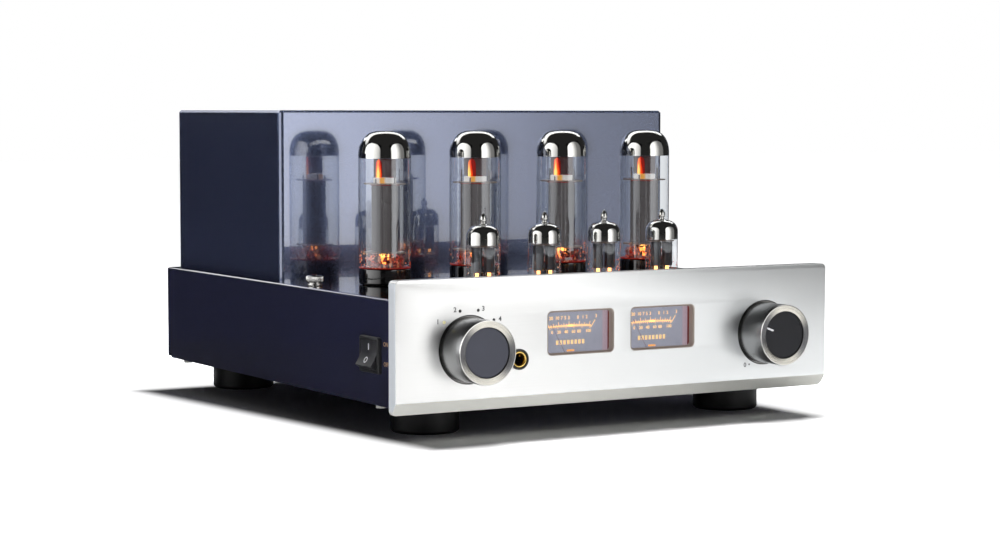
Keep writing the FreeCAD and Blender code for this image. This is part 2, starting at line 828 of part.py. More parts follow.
def transformerCoils():
    """Wound coils that fill the windows of the cores and stand proud of the stack, front and back."""
    coils = []
    for x, kind in transformers:
        wide, stack, tall = kind + "Width", kind + "Stack", kind + "Height"
        leg = "%s / 3" % wide
        low = "%s + %s / 6 + coilGap" % (deck, wide)
        height = "%s - %s / 3 - 2 * coilGap" % (tall, wide)
        outside = centredBox(wide + " * 2 / 3 - 2 * coilGap", stack + " + 2 * coilOverhang", height, x,
                             coverMiddle, low)
        inside = centredBox(leg, stack, height + " + 2", x, coverMiddle, low + " - 1")
        coils.append(cut("Coil", outside, inside))
    return group("transformer_coils", coils)


# Controls. Each is built about its own axis, with its origin on the panel's face and its Z axis to the front.

boreRadius = "(shaftRadius + runningGap) / cos(180 / shaftSides)"


def stand(thing, side):
    return place(thing, side + knobX, panelFace, "controlHeight", facingFront)


def controlBody(label, side, radius, length):
    """A switch or potentiometer: drum, terminal tab, and the bush that its shaft turns in."""
    drum = prism(12, radius, length, z="-%s - %s" % (throughPanel, length))
    bush = prism("shaftSides", "bushRadius", "bushLength + 1", z="-%s - 1" % throughPanel)
    tab = box("3 * terminalWidth", radius, "terminalThickness", "-1.5 * terminalWidth",
              "-%s * 1.35" % radius, "-%s - 3" % throughPanel)
    whole = fuse("Control", drum, bush, tab)
    bore = prism("shaftSides", boreRadius, "bushLength + %s" % length,
                 z="-%s - %s + 3" % (throughPanel, length))
    return stand(cut(label, whole, bore), side)


def shaft(label, side):
    rod = prism("shaftSides", "shaftRadius", "shaftLength")
    return stand(group(label, [place(rod, z="shaftGrip - shaftLength")]), side)


def knob(label, side):
    """A drum with a seat for the inlay in its front and a blind bore for the shaft."""
    body = newBody(label)
    back = "(knobGap - recessDepth)"
    front = "(knobGap - recessDepth + knobLength)"
    prismFeature(body, "knobSides", "knobRadius", "knobLength", z=back)
    doc.recompute()
    face = size("knobGap") - size("recessDepth") + size("knobLength")
    dress(body, "Chamfer", "knobEdge", lambda b: b.ZMin > face - 0.01)
    seat = "inlaySink + inlayThickness"
    prismFeature(body, "knobSides", "inlayRadius + inlayGap", seat + " + 1", z="%s - (%s)" % (front, seat),
                 takesAway=True)
    prismFeature(body, "shaftSides", boreRadius, "shaftGrip + 1 - %s" % back, z=back + " - 1",
                 takesAway=True)
    return stand(body, side)


def inlay(label, side, pointer):
    """The disc in the knob's front. The volume knob's has a groove for its pointer."""
    body = newBody(label)
    top = "(knobGap - recessDepth + knobLength - inlaySink)"
    prismFeature(body, "knobSides", "inlayRadius", "inlayThickness", z=top + " - inlayThickness")
    doc.recompute()
    if pointer:
        def corner(reach, across):
            turn = "pointerAngle"
            x = "(%s) * cos(%s) - (%s) * sin(%s)" % (reach, turn, across, turn)
            y = "(%s) * sin(%s) + (%s) * cos(%s)" % (reach, turn, across, turn)
            return x, y
        near, far, half = "pointerStart", "inlayRadius + 1", "pointerWidth / 2"
        groove = [corner(near, "-" + half), corner(far, "-" + half), corner(far, half), corner(near, half)]
        pocket(body, sketch(body, "XY_Plane", top, [groove]), "pointerDepth")
    return stand(body, side)


def sourceLamps():
    """Four light pipes from a small board behind the wall to the panel's face."""
    pipes = []
    for k in range(4):
        x, z = markerPlace(k)
        pipes.append(place(prism(8, "markerRadius", "markerLength"), x, panelFace + " + markerLength", z,
                           facingFront))
    low = "controlHeight + markerCircleRadius * sin(markerStart) - 2 * markerRadius"
    tall = "markerCircleRadius * (sin(markerStart - markerStep) - sin(markerStart)) + 4 * markerRadius"
    left = "-%s - markerBoardWidth / 2" % knobX
    board = box("markerBoardWidth", "markerBoardThickness", tall, left, panelFace + " + markerLength", low)
    spacers = []
    for start in (left, left + " + markerBoardWidth - 3"):
        spacers.append(box("3", "markerLength - %s" % throughPanel, "3", start,
                           "%s + %s" % (panelFace, throughPanel), low))
    return group("source_lamps", pipes + [board] + spacers)


def headphoneJack():
    """Block behind the wall with a bush through the panel, bored for the plug, and a ring nut in front."""
    block = centredBox("jackBodySize", "jackBodySize", "jackBodyLength",
                       z="-%s - jackBodyLength" % throughPanel)
    bush = prism(12, "jackBushRadius", throughPanel + " + jackBushReach + 1", z="-%s - 1" % throughPanel)
    bore = cylinder("jackBoreRadius", "jackBoreDepth + 1", z="jackBushReach - jackBoreDepth")
    body = cut("Jack", fuse("Body", block, bush), bore)
    ring = prism(12, "jackNutRadius", "jackNutLength")
    hole = prism(12, "jackBushRadius", "jackNutLength + 2", z="-1")
    nut = cut("RingNut", ring, hole)
    return place(group("headphone_jack", [body, nut]), jackX, panelFace, "jackHeight", facingFront)


# Level meters

def meterCases():
    """Open boxes with a movement block, bored for the needle's pin, that carries the dial."""
    cases = []
    for side in ("-", ""):
        x, low = side + "meterSpacing / 2", "meterHeight - meterSkirt / 2 - %s / 2" % meterTall
        y = meterFront + " + meterBodyDepth / 2"
        outside = centredBox(meterWidth, "meterBodyDepth", meterTall, x, y, low)
        inside = centredBox(meterWidth + " - 2 * meterWall", "meterBodyDepth",
                            meterTall + " - 2 * meterWall",
                            x, y + " - meterWall", low + " + meterWall")
        blockFront = dialFront + " + dialThickness"
        deep = "%s + meterBodyDepth - meterWall / 2 - (%s)" % (meterFront, blockFront)
        block = box("movementWidth", deep, "movementHeight", x + " - movementWidth / 2", blockFront,
                    low + " + meterWall")
        bore = prism(8, "(needlePinRadius + runningGap) / cos(22.5)", "needlePinLength + 1")
        place(bore, x, dialFront + " + needlePinLength", needlePivot, facingFront)
        cases.append(cut("MeterCase", fuse("CaseAndMovement", cut("OpenCase", outside, inside), block),
                         bore))
    return group("meter_cases", cases)


def meterDials():
    """Plates across the cases, with a slot that lets the lamp through and a hole for the needle's pin."""
    dials = []
    for side in ("-", ""):
        x, low = side + "meterSpacing / 2", "meterHeight - meterSkirt / 2 - %s / 2 + meterWall" % meterTall
        wide, tall = meterWidth + " - 2 * meterWall", meterTall + " - 2 * meterWall"
        plate = box(wide, "dialThickness", tall, "%s - (%s) / 2" % (x, wide), dialFront, low)
        slotZ = "meterHeight - windowHeight / 2 + dialSlotRise"
        slot = box("dialSlotWidth", "dialThickness + 2", "dialSlotHeight", x + " - dialSlotWidth / 2",
                   dialFront + " - 1", slotZ)
        hole = prism(6, "needlePinRadius + 2 * seatGap", "dialThickness + 2")
        place(hole, x, dialFront + " + dialThickness + 1", needlePivot, facingFront)
        dials.append(cut("Dial", plate, slot, hole))
    return group("meter_dials", dials)


def meterWindows():
    panes = []
    for side in ("-", ""):
        wide = meterWidth + " - 2 * meterWall - 2 * plateGap"
        tall = meterTall + " - 2 * meterWall - 2 * plateGap"
        x = "%smeterSpacing / 2 - (%s) / 2" % (side, wide)
        panes.append(box(wide, "paneThickness", tall, x, meterFront,
                         "meterHeight - meterSkirt / 2 - (%s) / 2" % tall))
    return group("meter_windows", panes)


def meterNeedle(label, side):
    """Pointer with a short tail and a hub, on a pin that turns in the movement."""
    arm = box("needleWidth", "needleLength + needleTail", "needleThickness", "-needleWidth / 2",
              "-needleTail", "0")
    hub = prism(8, "needleHubRadius", "needleThickness")
    axle = prism(8, "needlePinRadius", "needlePinLength", z="needleThickness / 2 - needlePinLength")
    pointer = fuse("Pointer", arm, hub, axle)
    bind(pointer, "Placement.Rotation.Angle", "needleRestAngle")
    needle = group(label, [pointer])
    return place(needle, side + "meterSpacing / 2", dialFront + " - needleGap", needlePivot, facingFront)


# Power switch, built with its origin on the case's left wall and its Z axis pointing out of it

def standSwitch(thing, z="0", tilt=0.0):
    x = "-caseWidth / 2 - (%s)" % z
    return place(thing, x, panelFace + " + switchInset", "switchHeight",
                 facingLeft * FreeCAD.Rotation(X, tilt))


def powerSwitchHousing():
    """Bezel and body with the well that the rocker turns in, the rocker's pin, and three terminals."""
    bezel = centredBox("bezelWidth", "bezelHeight", "bezelThickness")
    body = centredBox(switchBodyWidth, switchBodyHeight, "switchBodyDepth + 1", z="-switchBodyDepth")
    wide, tall = switchBodyWidth + " - 2 * switchWall", switchBodyHeight + " - 2 * switchWall"
    deep = "(rockerPivotDepth + switchFloor)"
    well = centredBox(wide, tall, "%s + bezelThickness + 1" % deep, z="-" + deep)
    axle = prism(8, "rockerPinRadius", switchBodyWidth + " - switchWall")
    place(axle, "-(%s - switchWall) / 2" % switchBodyWidth, "0", "-rockerPivotDepth",
          FreeCAD.Rotation(Y, 90))
    pieces = [cut("SwitchBody", fuse("BezelAndBody", bezel, body), well), axle]
    for k in (-1, 0, 1):
        y = "%d * %s / 3" % (k, switchBodyHeight)
        pieces.append(centredBox("terminalWidth", "terminalThickness", "terminalLength + 1", "0", y,
                                 "-switchBodyDepth - terminalLength"))
    return standSwitch(fuse("power_switch_housing", *pieces))


def powerRocker():
    """Rocker with a hollow V front and round ends about its pin, pressed in at the top: the ON position."""
    body = newBody("power_rocker")
    right = [("rockerHalfLength", rockerEnd)]
    for turn in (16, 0, -14):
        right.append(("%s * cos(%d)" % (rockerReach, turn), "%s * sin(%d)" % (rockerReach, turn)))
    right.append(("rockerHalfLength * 0.45", "-rockerBack"))
    left = [("-(%s)" % y, z) for y, z in reversed(right)]
    pad(body, sketch(body, "YZ_Plane", "0", [[("0", "rockerRise")] + right + left]), "rockerWidth", True)
    pocket(body, sketch(body, "YZ_Plane", "0", [manySided("0", "0", "rockerPinRadius + runningGap", 12)]),
           None, 1, True)
    return standSwitch(body, "-rockerPivotDepth", -size("rockerTilt"))


# Tubes. Each is built with its origin on the deck, on its own axis.

def standTube(thing, number, pitch, row):
    return place(thing, "%.1f * %s" % (number - 2.5, pitch), row, deck)


def pinCircle(body, radius, circle, low, height, count, angle, takesAway=False):
    first = prismFeature(body, 4, radius, height, x=circle, z=low, takesAway=takesAway)
    polarPattern(body, [first], angle, count)


def powerTubeBase(number):
    """Moulded base with a spigot and eight pins."""
    body = newBody("power_tube_%d_base" % number)
    prismFeature(body, "tubeSides", "powerBaseRadius", "powerBaseHeight - seatGap", z="seatGap")
    prismFeature(body, 6, "spigotRadius", "spigotLength + 1", z="-spigotLength")
    pinCircle(body, "powerPinRadius", "powerPinCircle", "-powerPinLength", "powerPinLength + 1", 8, 360)
    return standTube(body, number, "powerTubePitch", powerRow)


def domed(radius, low, shoulder, top, steps):
    """Half section of a round-topped form. The dome is taken at these angles above the shoulder."""
    turns = [math.radians(step) for step in steps]
    dome = [(radius * math.cos(turn), shoulder + (top - shoulder) * math.sin(turn)) for turn in turns]
    return [(0, low), (radius, low)] + dome


def powerTubeGlass(number):
    """Envelope that is open at the base. Its inside has fewer flat steps than its outside."""
    radius, wall, top = size("powerBulbRadius"), size("glassWall"), size("powerBulbTop")
    low, shoulder = size("powerBaseHeight"), top - size("powerDomeHeight")
    outside = domed(radius, low, shoulder, top, (0, 35, 65)) + [(0, top)]
    inside = domed(radius - wall, low - 1, shoulder, top - wall, (0, 45)) + [(0, top - wall)]
    shape = turned(outside, int(size("tubeSides"))).cut(turned(inside, 12))
    glass = turnedFeature("power_tube_%d_glass" % number, shape)
    return standTube(glass, number, "powerTubePitch", powerRow)


def powerTubeElectrodes(number):
    """Stem, rods, two mica discs, the anode between them, and the shield and getter above."""
    anode = newBody("Anode")
    half, deep, fin = "powerAnodeWidth / 2", "powerAnodeDepth / 2", "rodWidth / 2"
    right = [(half, "-" + fin), (half, fin), ("%s * 0.75" % half, fin), ("%s * 0.5" % half, deep)]
    left = [("-(%s)" % x, y) for x, y in right[::-1]]
    back = [("-(%s)" % x, "-(%s)" % y) for x, y in right[2:]]
    front = [(x, "-(%s)" % y) for x, y in right[:1:-1]]
    outline = right + left[:-1] + [("-" + half, "-" + fin)] + back + front
    pad(anode, sketch(anode, "XY_Plane", "powerAnodeBottom", [outline]), "powerAnodeTop - powerAnodeBottom")
    stem = prism(6, "powerStemRadius", "2 * stemThickness", z="powerBaseHeight")
    lower = prism(8, "powerMicaRadius", "micaThickness", z="powerAnodeBottom - micaThickness")
    upper = prism(8, "powerMicaRadius", "micaThickness", z="powerAnodeTop")
    shield = centredBox("powerAnodeWidth * 0.7", "powerAnodeDepth * 0.7", "powerShieldHeight",
                        z="powerAnodeTop + micaThickness")
    getter = prism(8, "powerGetterRadius", "rodWidth", z="powerGetterTop - rodWidth")
    pieces = [anode, stem, lower, upper, shield, getter]
    stemTop = "powerBaseHeight + 2 * stemThickness"
    for x in ("-powerStemRadius * 0.7", "powerStemRadius * 0.7"):
        pieces.append(centredBox("rodWidth", "rodWidth",
                                 "powerAnodeBottom - micaThickness - (%s)" % stemTop, x, "0", stemTop))
    shieldTop = "powerAnodeTop + micaThickness + powerShieldHeight"
    pieces.append(centredBox("rodWidth", "rodWidth", "powerGetterTop - rodWidth - (%s)" % shieldTop, "0",
                             "0", shieldTop))
    return standTube(group("power_tube_%d_electrodes" % number, pieces), number, "powerTubePitch", powerRow)


def driverTubeGlass(number):
    """Bulb with a closed bottom and a drawn tip."""
    radius, wall, low = size("smallBulbRadius"), size("glassWall"), size("seatGap")
    shoulder, top = size("smallShoulder"), size("smallDomeTop")
    tip, root = size("smallTipTop"), size("smallTipRadius")
    outside = domed(radius, low, shoulder, top, (0, 50)) + [(root, top), (root / 2, tip - wall), (0, tip)]
    inside = domed(radius - wall, low + size("stemThickness"), shoulder, top - wall,
                   (0, 45)) + [(0, top - wall)]
    shape = turned(outside, int(size("smallTubeSides"))).cut(turned(inside, 10))
    glass = turnedFeature("driver_tube_%d_glass" % number, shape)
    return standTube(glass, number, "smallTubePitch", smallRow)


def driverTubeElectrodes(number):
    """Two anodes between mica discs, the getter on its rod, and nine pins under the bulb."""
    pins = newBody("Pins")
    pinCircle(pins, "smallPinRadius", "smallPinCircle", "-smallPinLength", "smallPinLength + seatGap", 9,
              288)
    pieces = [pins]
    for side in ("-", ""):
        tall = "smallAnodeTop - smallAnodeBottom"
        pieces.append(prism(8, "smallAnodeRadius", tall, side + "smallAnodeSpread / 2", "0",
                            "smallAnodeBottom"))
        low = "seatGap + stemThickness"
        short = "smallAnodeBottom - micaThickness - (%s)" % low
        pieces.append(centredBox("rodWidth", "rodWidth", short, side + "smallAnodeSpread / 2", "0", low))
    pieces.append(prism(8, "smallMicaRadius", "micaThickness", z="smallAnodeBottom - micaThickness"))
    pieces.append(prism(8, "smallMicaRadius", "micaThickness", z="smallAnodeTop"))
    top = "smallAnodeTop + micaThickness"
    pieces.append(centredBox("rodWidth", "rodWidth", "smallGetterTop - rodWidth - (%s)" % top, "0", "0",
                             top))
    pieces.append(prism(8, "smallGetterRadius", "rodWidth", z="smallGetterTop - rodWidth"))
    return standTube(group("driver_tube_%d_electrodes" % number, pieces), number, "smallTubePitch",
                     smallRow)


def tubeSocket(label, number, kind, pitch, row, pinCount, pinAngle):
    """Socket on the main board, flush with the deck, with blind holes for the pins and for the spigot."""
    body = newBody(label)
    prismFeature(body, "socketSides", kind + "SocketRadius", "socketHeight", z="-socketHeight")
    hole, circle = kind + "PinRadius + pinHoleGap", kind + "PinCircle"
    deep = "(%sPinLength + pinHoleSpare)" % kind
    if kind == "power":
        prismFeature(body, 6, "(spigotRadius + pinHoleGap) / cos(30)", "spigotLength + 1.5",
                     z="-spigotLength - 0.5", takesAway=True)
    pinCircle(body, hole, circle, "-" + deep, deep + " + 1", pinCount, pinAngle, True)
    return standTube(body, number, pitch, row)


def tubeSockets(label, kind, pitch, row, pinCount, pinAngle):
    sockets = [tubeSocket("Socket", k, kind, pitch, row, pinCount, pinAngle) for k in (1, 2, 3, 4)]
    return group(label, sockets)


def mainBoard():
    """Board that carries the sockets, with four filter capacitors standing down from it."""
    top = socketBottom
    half = "(caseWidth / 2 - boardSideGap)"
    board = box("2 * " + half, "boardDepth", "boardThickness", "-" + half, panelFace + " + boardFrontInset",
                top + " - boardThickness")
    pieces = [board]
    middle = "(%s + %s) / 2" % (powerRow, smallRow)
    for k in range(4):
        x = "%.1f * capacitorPitch" % (k - 1.5)
        low = top + " - boardThickness - capacitorHeight"
        pieces.append(prism(10, "capacitorRadius", "capacitorHeight", x, middle, low))
    return group("main_board", pieces)


def thumbscrew():
    """Turned screw: washer, waist, head with a chamfered edge, and a stem through the deck."""
    low, top = size("seatGap"), size("thumbscrewHeight")
    head = size("thumbscrewRadius")
    washer, waist = size("thumbscrewWasherRadius"), size("thumbscrewWaistRadius")
    stem, tail = size("thumbscrewStemRadius"), size("thumbscrewStemLength")
    profile = [(0, -tail), (stem, -tail), (stem, low), (washer, low), (washer, low + 1.0),
               (waist, low + 1.0),
               (waist, low + 1.8), (head, low + 1.8), (head, top - 0.4), (head - 0.4, top), (0, top)]
    return turnedFeature("thumbscrew", turned(profile, 12), thumbscrewX, panelFace + " + thumbscrewInset",
                         deck)


# Rear wall. These pieces are built with their Z axis pointing to the rear and their origin on the rear wall.

def onRear(thing, x, z):
    return place(thing, x, shellRear, z, facingRear)


def mainsInlet():
    """Flanged inlet with a recess that has two cut corners, and three blades on its floor."""
    body = newBody("mains_inlet")
    pad(body, sketch(body, "XY_Plane", "0", [centredRectangle("inletFlangeWidth", "inletFlangeHeight")]),
        "inletFlangeThickness")
    pad(body, sketch(body, "XY_Plane", "-inletDepth", [centredRectangle("inletWidth", "inletHeight")]),
        "inletDepth + 1")
    half, tall, corner = "inletRecessWidth / 2", "inletRecessHeight / 2", "inletRecessHeight / 4"
    recess = [("-" + half, "-" + tall), (half, "-" + tall), (half, "%s - %s" % (tall, corner)),
              ("%s - %s" % (half, corner), tall), ("-%s + %s" % (half, corner), tall),
              ("-" + half, "%s - %s" % (tall, corner))]
    pocket(body, sketch(body, "XY_Plane", "inletFlangeThickness", [recess]), "inletRecessDepth")
    blades = []
    for x, y in (("-7", "-2"), ("0", "2"), ("7", "-2")):
        blades.append(centredRectangle("2", "4", x, y))
    pad(body, sketch(body, "XY_Plane", "inletFlangeThickness - inletRecessDepth", blades),
        "inletBladeLength")
    return onRear(body, inletX, "connectorHeight")


def speakerPosts():
    """Four posts bored for plugs, each with a collar outside the wall and a shank through it."""
    posts = []
    for x in postPlaces():
        post = prism("capSides", "postRadius", "postReach")
        collar = prism("capSides", "postBaseRadius", "postBaseLength")
        shank = prism(6, "postRadius", "2 * wallThickness + 1", z="-2 * wallThickness")
        bore = cylinder("postBoreRadius", "postBoreDepth + 1", z="postReach - postBoreDepth")
        posts.append(onRear(cut("Post", fuse("PostAndCollar", post, collar, shank), bore), x,
                            "connectorHeight"))
    return group("speaker_posts", posts)


def speakerPostCap(number, x):
    """Many-sided cap that screws along the post."""
    ring = prism("capSides", "capRadius", "capLength", z="postBaseLength + capGap")
    hole = prism("capSides", "postRadius + runningGap", "capLength + 2", z="postBaseLength + capGap - 1")
    return onRear(cut("speaker_post_cap_%d" % number, ring, hole), x, "connectorHeight")


def inputJacks():
    """Six coaxial jacks, each a bored sleeve through the wall with a collar outside it."""
    jacks = []
    for x, z in inputPlaces():
        sleeve = prism(10, "sleeveRadius", "sleeveLength")
        shank = prism(6, "sleeveRadius", "2 * wallThickness + 1", z="-2 * wallThickness")
        collar = prism(8, "inputCollarRadius", "inputCollarLength")
        bore = prism(6, "sleeveBoreRadius", "sleeveBoreDepth + 1", z="sleeveLength - sleeveBoreDepth")
        jacks.append(onRear(cut("InputJack", fuse("Sleeve", sleeve, shank, collar), bore), x, z))
    return group("input_jacks", jacks)


def buildParts():
    parts = [chassisShell(), topPlate(), bottomPlate(), feet(), caseScrews(), frontPanel()]
    parts += [transformerCover(), transformerCores(), transformerCoils()]
    parts += [controlBody("selector_switch", "-", "selectorBodyRadius", "selectorBodyLength")]
    parts += [controlBody("volume_control", "", "volumeBodyRadius", "volumeBodyLength")]
    for kind, side in (("selector", "-"), ("volume", "")):
        parts += [shaft(kind + "_shaft", side), knob(kind + "_knob", side),
                  inlay(kind + "_inlay", side, kind == "volume")]
    parts += [sourceLamps(), headphoneJack(), meterCases(), meterDials(), meterWindows()]
    parts += [meterNeedle("meter_needle_left", "-"), meterNeedle("meter_needle_right", "")]
    parts += [powerSwitchHousing(), powerRocker(), mainBoard(), thumbscrew()]
    parts += [tubeSockets("power_tube_sockets", "power", "powerTubePitch", powerRow, 8, 360)]
    parts += [tubeSockets("driver_tube_sockets", "small", "smallTubePitch", smallRow, 9, 288)]
    for k in (1, 2, 3, 4):
        parts += [powerTubeBase(k), powerTubeGlass(k), powerTubeElectrodes(k)]
        parts += [driverTubeGlass(k), driverTubeElectrodes(k)]
    parts += [mainsInlet(), speakerPosts(), inputJacks()]
    parts += [speakerPostCap(k, x) for k, x in enumerate(postPlaces(), start=1)]
    return parts


parts = buildParts()
doc.recompute()
failed = [thing.Label for thing in doc.Objects if "Invalid" in thing.State or "Error" in thing.State]
failed += [part.Label for part in parts if part.Shape.isNull() or not part.Shape.isValid()]
if failed:
    raise ValueError("not built: " + ", ".join(failed))
os.makedirs("parts", exist_ok=True)
for part in parts:
    part.Shape.exportStep("parts/%s.step" % part.Label)
print(len(parts), "parts written")
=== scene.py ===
import json
import math
import bpy
import bmesh
import numpy as np
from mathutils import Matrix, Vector
from mathutils.geometry import tessellate_polygon

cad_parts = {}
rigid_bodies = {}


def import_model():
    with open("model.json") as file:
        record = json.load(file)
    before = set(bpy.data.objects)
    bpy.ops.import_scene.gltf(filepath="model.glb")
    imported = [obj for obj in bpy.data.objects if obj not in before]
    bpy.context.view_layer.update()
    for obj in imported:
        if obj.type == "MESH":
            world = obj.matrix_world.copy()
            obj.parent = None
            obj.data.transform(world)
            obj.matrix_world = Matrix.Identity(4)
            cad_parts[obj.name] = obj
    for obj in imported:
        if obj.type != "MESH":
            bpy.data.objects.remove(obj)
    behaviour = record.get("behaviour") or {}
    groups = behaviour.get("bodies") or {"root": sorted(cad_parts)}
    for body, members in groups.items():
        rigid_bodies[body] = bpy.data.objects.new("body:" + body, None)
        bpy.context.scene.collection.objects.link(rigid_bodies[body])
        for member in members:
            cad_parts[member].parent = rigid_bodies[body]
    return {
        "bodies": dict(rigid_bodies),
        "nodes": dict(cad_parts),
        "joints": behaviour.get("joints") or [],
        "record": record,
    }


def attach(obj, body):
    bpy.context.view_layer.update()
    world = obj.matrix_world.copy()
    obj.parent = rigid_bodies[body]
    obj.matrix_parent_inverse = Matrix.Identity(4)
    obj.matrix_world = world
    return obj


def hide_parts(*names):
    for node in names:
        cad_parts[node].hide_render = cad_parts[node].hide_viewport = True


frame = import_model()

mm = 0.001
nodes = frame["nodes"]
scene = bpy.context.scene
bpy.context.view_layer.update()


# Shapes. Each is drawn in millimetres in its own u, v, w, with w out of the face it stands on. A patch is its
# points and its faces, and a piece is a list of patches.

def circle(radius, sides):
    # points at equal steps round a circle, anticlockwise
    a = np.arange(sides) * 2 * np.pi / sides
    return np.stack([radius * np.cos(a), radius * np.sin(a)], 1)


def roundedBox(width, height, radius, inset=0.0, steps=6):
    # four quarter arcs joined by straight sides, anticlockwise, all drawn in by the inset
    w, h = width / 2 - inset, height / 2 - inset
    r = max(radius - inset, 0.02)
    a = np.linspace(0, np.pi / 2, steps + 1)
    arcs = []
    for q, (cu, cv) in enumerate(((w - r, h - r), (r - w, h - r), (r - w, r - h), (w - r, r - h))):
        arcs.append(np.stack([cu + r * np.cos(a + q * np.pi / 2), cv + r * np.sin(a + q * np.pi / 2)], 1))
    return np.concatenate(arcs)


def mirroredQuarter(quarter):
    # a quarter of an outline and its three mirror images, as one closed outline, anticlockwise
    quarter = np.asarray(quarter, float)
    return np.vstack([quarter, quarter[::-1] * (1, -1), quarter * (-1, -1), quarter[::-1] * (-1, 1)])[::-1]


def moved(outline, u, v):
    return outline + np.array([u, v])


def turned(outline, degrees):
    # a flat outline turned anticlockwise about its origin
    c, s = math.cos(math.radians(degrees)), math.sin(math.radians(degrees))
    return outline @ np.array([[c, s], [-s, c]])


def lifted(outline, w):
    # a flat outline set at one height
    return np.column_stack([outline, np.full(len(outline), float(w))])


def raised(profile, height):
    # a lathe profile moved up the axis
    return [(r, h + height) for r, h in profile]


def shifted(patch, u, v):
    points, faces = patch
    return points + np.array([u, v, 0]), faces


def skin(rows):
    # quads between neighbouring rows of points; rows go up and points go anticlockwise for an outer face
    rows = np.asarray(rows, float)
    n, m = rows.shape[:2]
    i = np.arange(n - 1)[:, None]
    j = np.arange(m)[None, :]
    k = (j + 1) % m
    quads = np.stack([i * m + j, i * m + k, (i + 1) * m + k, (i + 1) * m + j], -1).reshape(-1, 4)
    return rows.reshape(-1, 3), quads.tolist()


def cap(loop, up=True):
    # one flat face on a closed loop
    order = list(range(len(loop)))
    return np.asarray(loop, float), [order if up else order[::-1]]


def capWithHoles(loops, w, up=True):
    # a flat face inside the first outline and outside the others, cut into triangles
    flat = np.concatenate(loops)
    triangles = tessellate_polygon([[Vector((p[0], p[1], 0)) for p in loop] for loop in loops])
    faces = []
    for a, b, c in triangles:
        (ua, va), (ub, vb), (uc, vc) = flat[a], flat[b], flat[c]
        turn = (ub - ua) * (vc - va) - (vb - va) * (uc - ua)
        faces.append([a, b, c] if (turn > 0) == up else [a, c, b])
    return lifted(flat, w), faces


def capped(rows):
    # a skin with both of its ends closed
    return [skin(rows), cap(rows[0], False), cap(rows[-1])]


def plate(outline, low, high):
    return capped([lifted(outline, low), lifted(outline, high)])


def slab(outline, low, high):
    # an outline function of the inset, with its top and bottom edges softened
    edge = min(0.25, (high - low) / 4)
    return capped([lifted(outline(edge), low), lifted(outline(0), low + edge),
                   lifted(outline(0), high - edge), lifted(outline(edge), high)])


def box(width, height, radius, low, high):
    # a slab with rounded upright edges
    return slab(lambda inset: roundedBox(width, height, radius, inset, 3), low, high)


def lathe(profile, sides, turn=0.0, waves=None):
    # each (radius, height) of the profile is carried round the axis; the profile runs from the axis out,
    # up and back
    profile = np.asarray(profile, float)
    a = np.arange(sides) * 2 * np.pi / sides + turn
    radius = profile[:, 0][:, None] * (np.ones(sides)[None, :] if waves is None else waves(a, profile))
    height = np.repeat(profile[:, 1][:, None], sides, 1)
    return skin(np.stack([radius * np.cos(a), radius * np.sin(a), height], -1))


def rod(u, v, low, high, radius, sides=10):
    return shifted(lathe([(0, low), (radius, low), (radius, high), (0, high)], sides), u, v)


def rodRing(count, circleRadius, low, high, radius, start, spaces=None, sides=10):
    # rods at equal steps round a circle; with more spaces than rods, a gap is left
    angles = np.arange(count) * 2 * math.pi / (spaces or count) + start
    return [rod(circleRadius * math.cos(a), circleRadius * math.sin(a), low, high, radius, sides)
            for a in angles]


def softened(profile, radius, steps=4):
    # every inner corner of an open line gives way to a short parabola that starts and ends one radius away
    profile = [np.array(p, float) for p in profile]
    line = [profile[0]]
    t = np.linspace(0, 1, steps + 1)[:, None]
    for before, corner, after in zip(profile, profile[1:], profile[2:]):
        a, b = before - corner, after - corner
        reach = min(radius, np.linalg.norm(a) * 0.49, np.linalg.norm(b) * 0.49)
        start, end = corner + a / np.linalg.norm(a) * reach, corner + b / np.linalg.norm(b) * reach
        line.extend((1 - t) ** 2 * start + 2 * t * (1 - t) * corner + t ** 2 * end)
    line.append(profile[-1])
    return np.array(line)


def domed(radius, low, shoulder, top, steps=14, roundness=0.62):
    # a straight wall, then a dome: a quarter of a squarish oval whose fullness is set by the roundness
    t = np.linspace(0, np.pi / 2, steps + 1)
    r = radius * np.cos(t) ** roundness
    h = shoulder + (top - shoulder) * np.sin(t) ** (1 / roundness * 0.62)
    r[-1] = 0.0
    return [(radius, low)] + list(zip(r, h))


def tube(path, radius, sides):
    # a circle carried along a path of points, square to it at each point
    path = np.asarray(path, float)
    ahead = np.gradient(path, axis=0)
    ahead /= np.linalg.norm(ahead, axis=1)[:, None]
    aside = np.cross(ahead, [0.31, 0.17, 0.94])
    aside /= np.linalg.norm(aside, axis=1)[:, None]
    over = np.cross(ahead, aside)
    a = (np.arange(sides) * 2 * np.pi / sides)[None, :, None]
    return capped(path[:, None, :] + radius * (aside[:, None, :] * np.cos(a) + over[:, None, :] * np.sin(a)))


def lettering(text, size, thick, u, v, bold):
    # text made into a mesh, centred on u, v
    curve = bpy.data.curves.new("lettering", "FONT")
    curve.body = text
    curve.size = size
    curve.align_x = "CENTER"
    curve.align_y = "CENTER"
    curve.extrude = thick / 2
    curve.offset = bold
    curve.resolution_u = 3
    holder = bpy.data.objects.new("lettering", curve)
    scene.collection.objects.link(holder)
    bpy.context.view_layer.update()
    mesh = bpy.data.meshes.new_from_object(holder.evaluated_get(bpy.context.evaluated_depsgraph_get()))
    points = np.zeros(len(mesh.vertices) * 3)
    mesh.vertices.foreach_get("co", points)
    points = points.reshape(-1, 3)
    faces = [list(polygon.vertices) for polygon in mesh.polygons]
    bpy.data.objects.remove(holder)
    bpy.data.curves.remove(curve)
    bpy.data.meshes.remove(mesh)
    return points + np.array([u, v, thick / 2]), faces


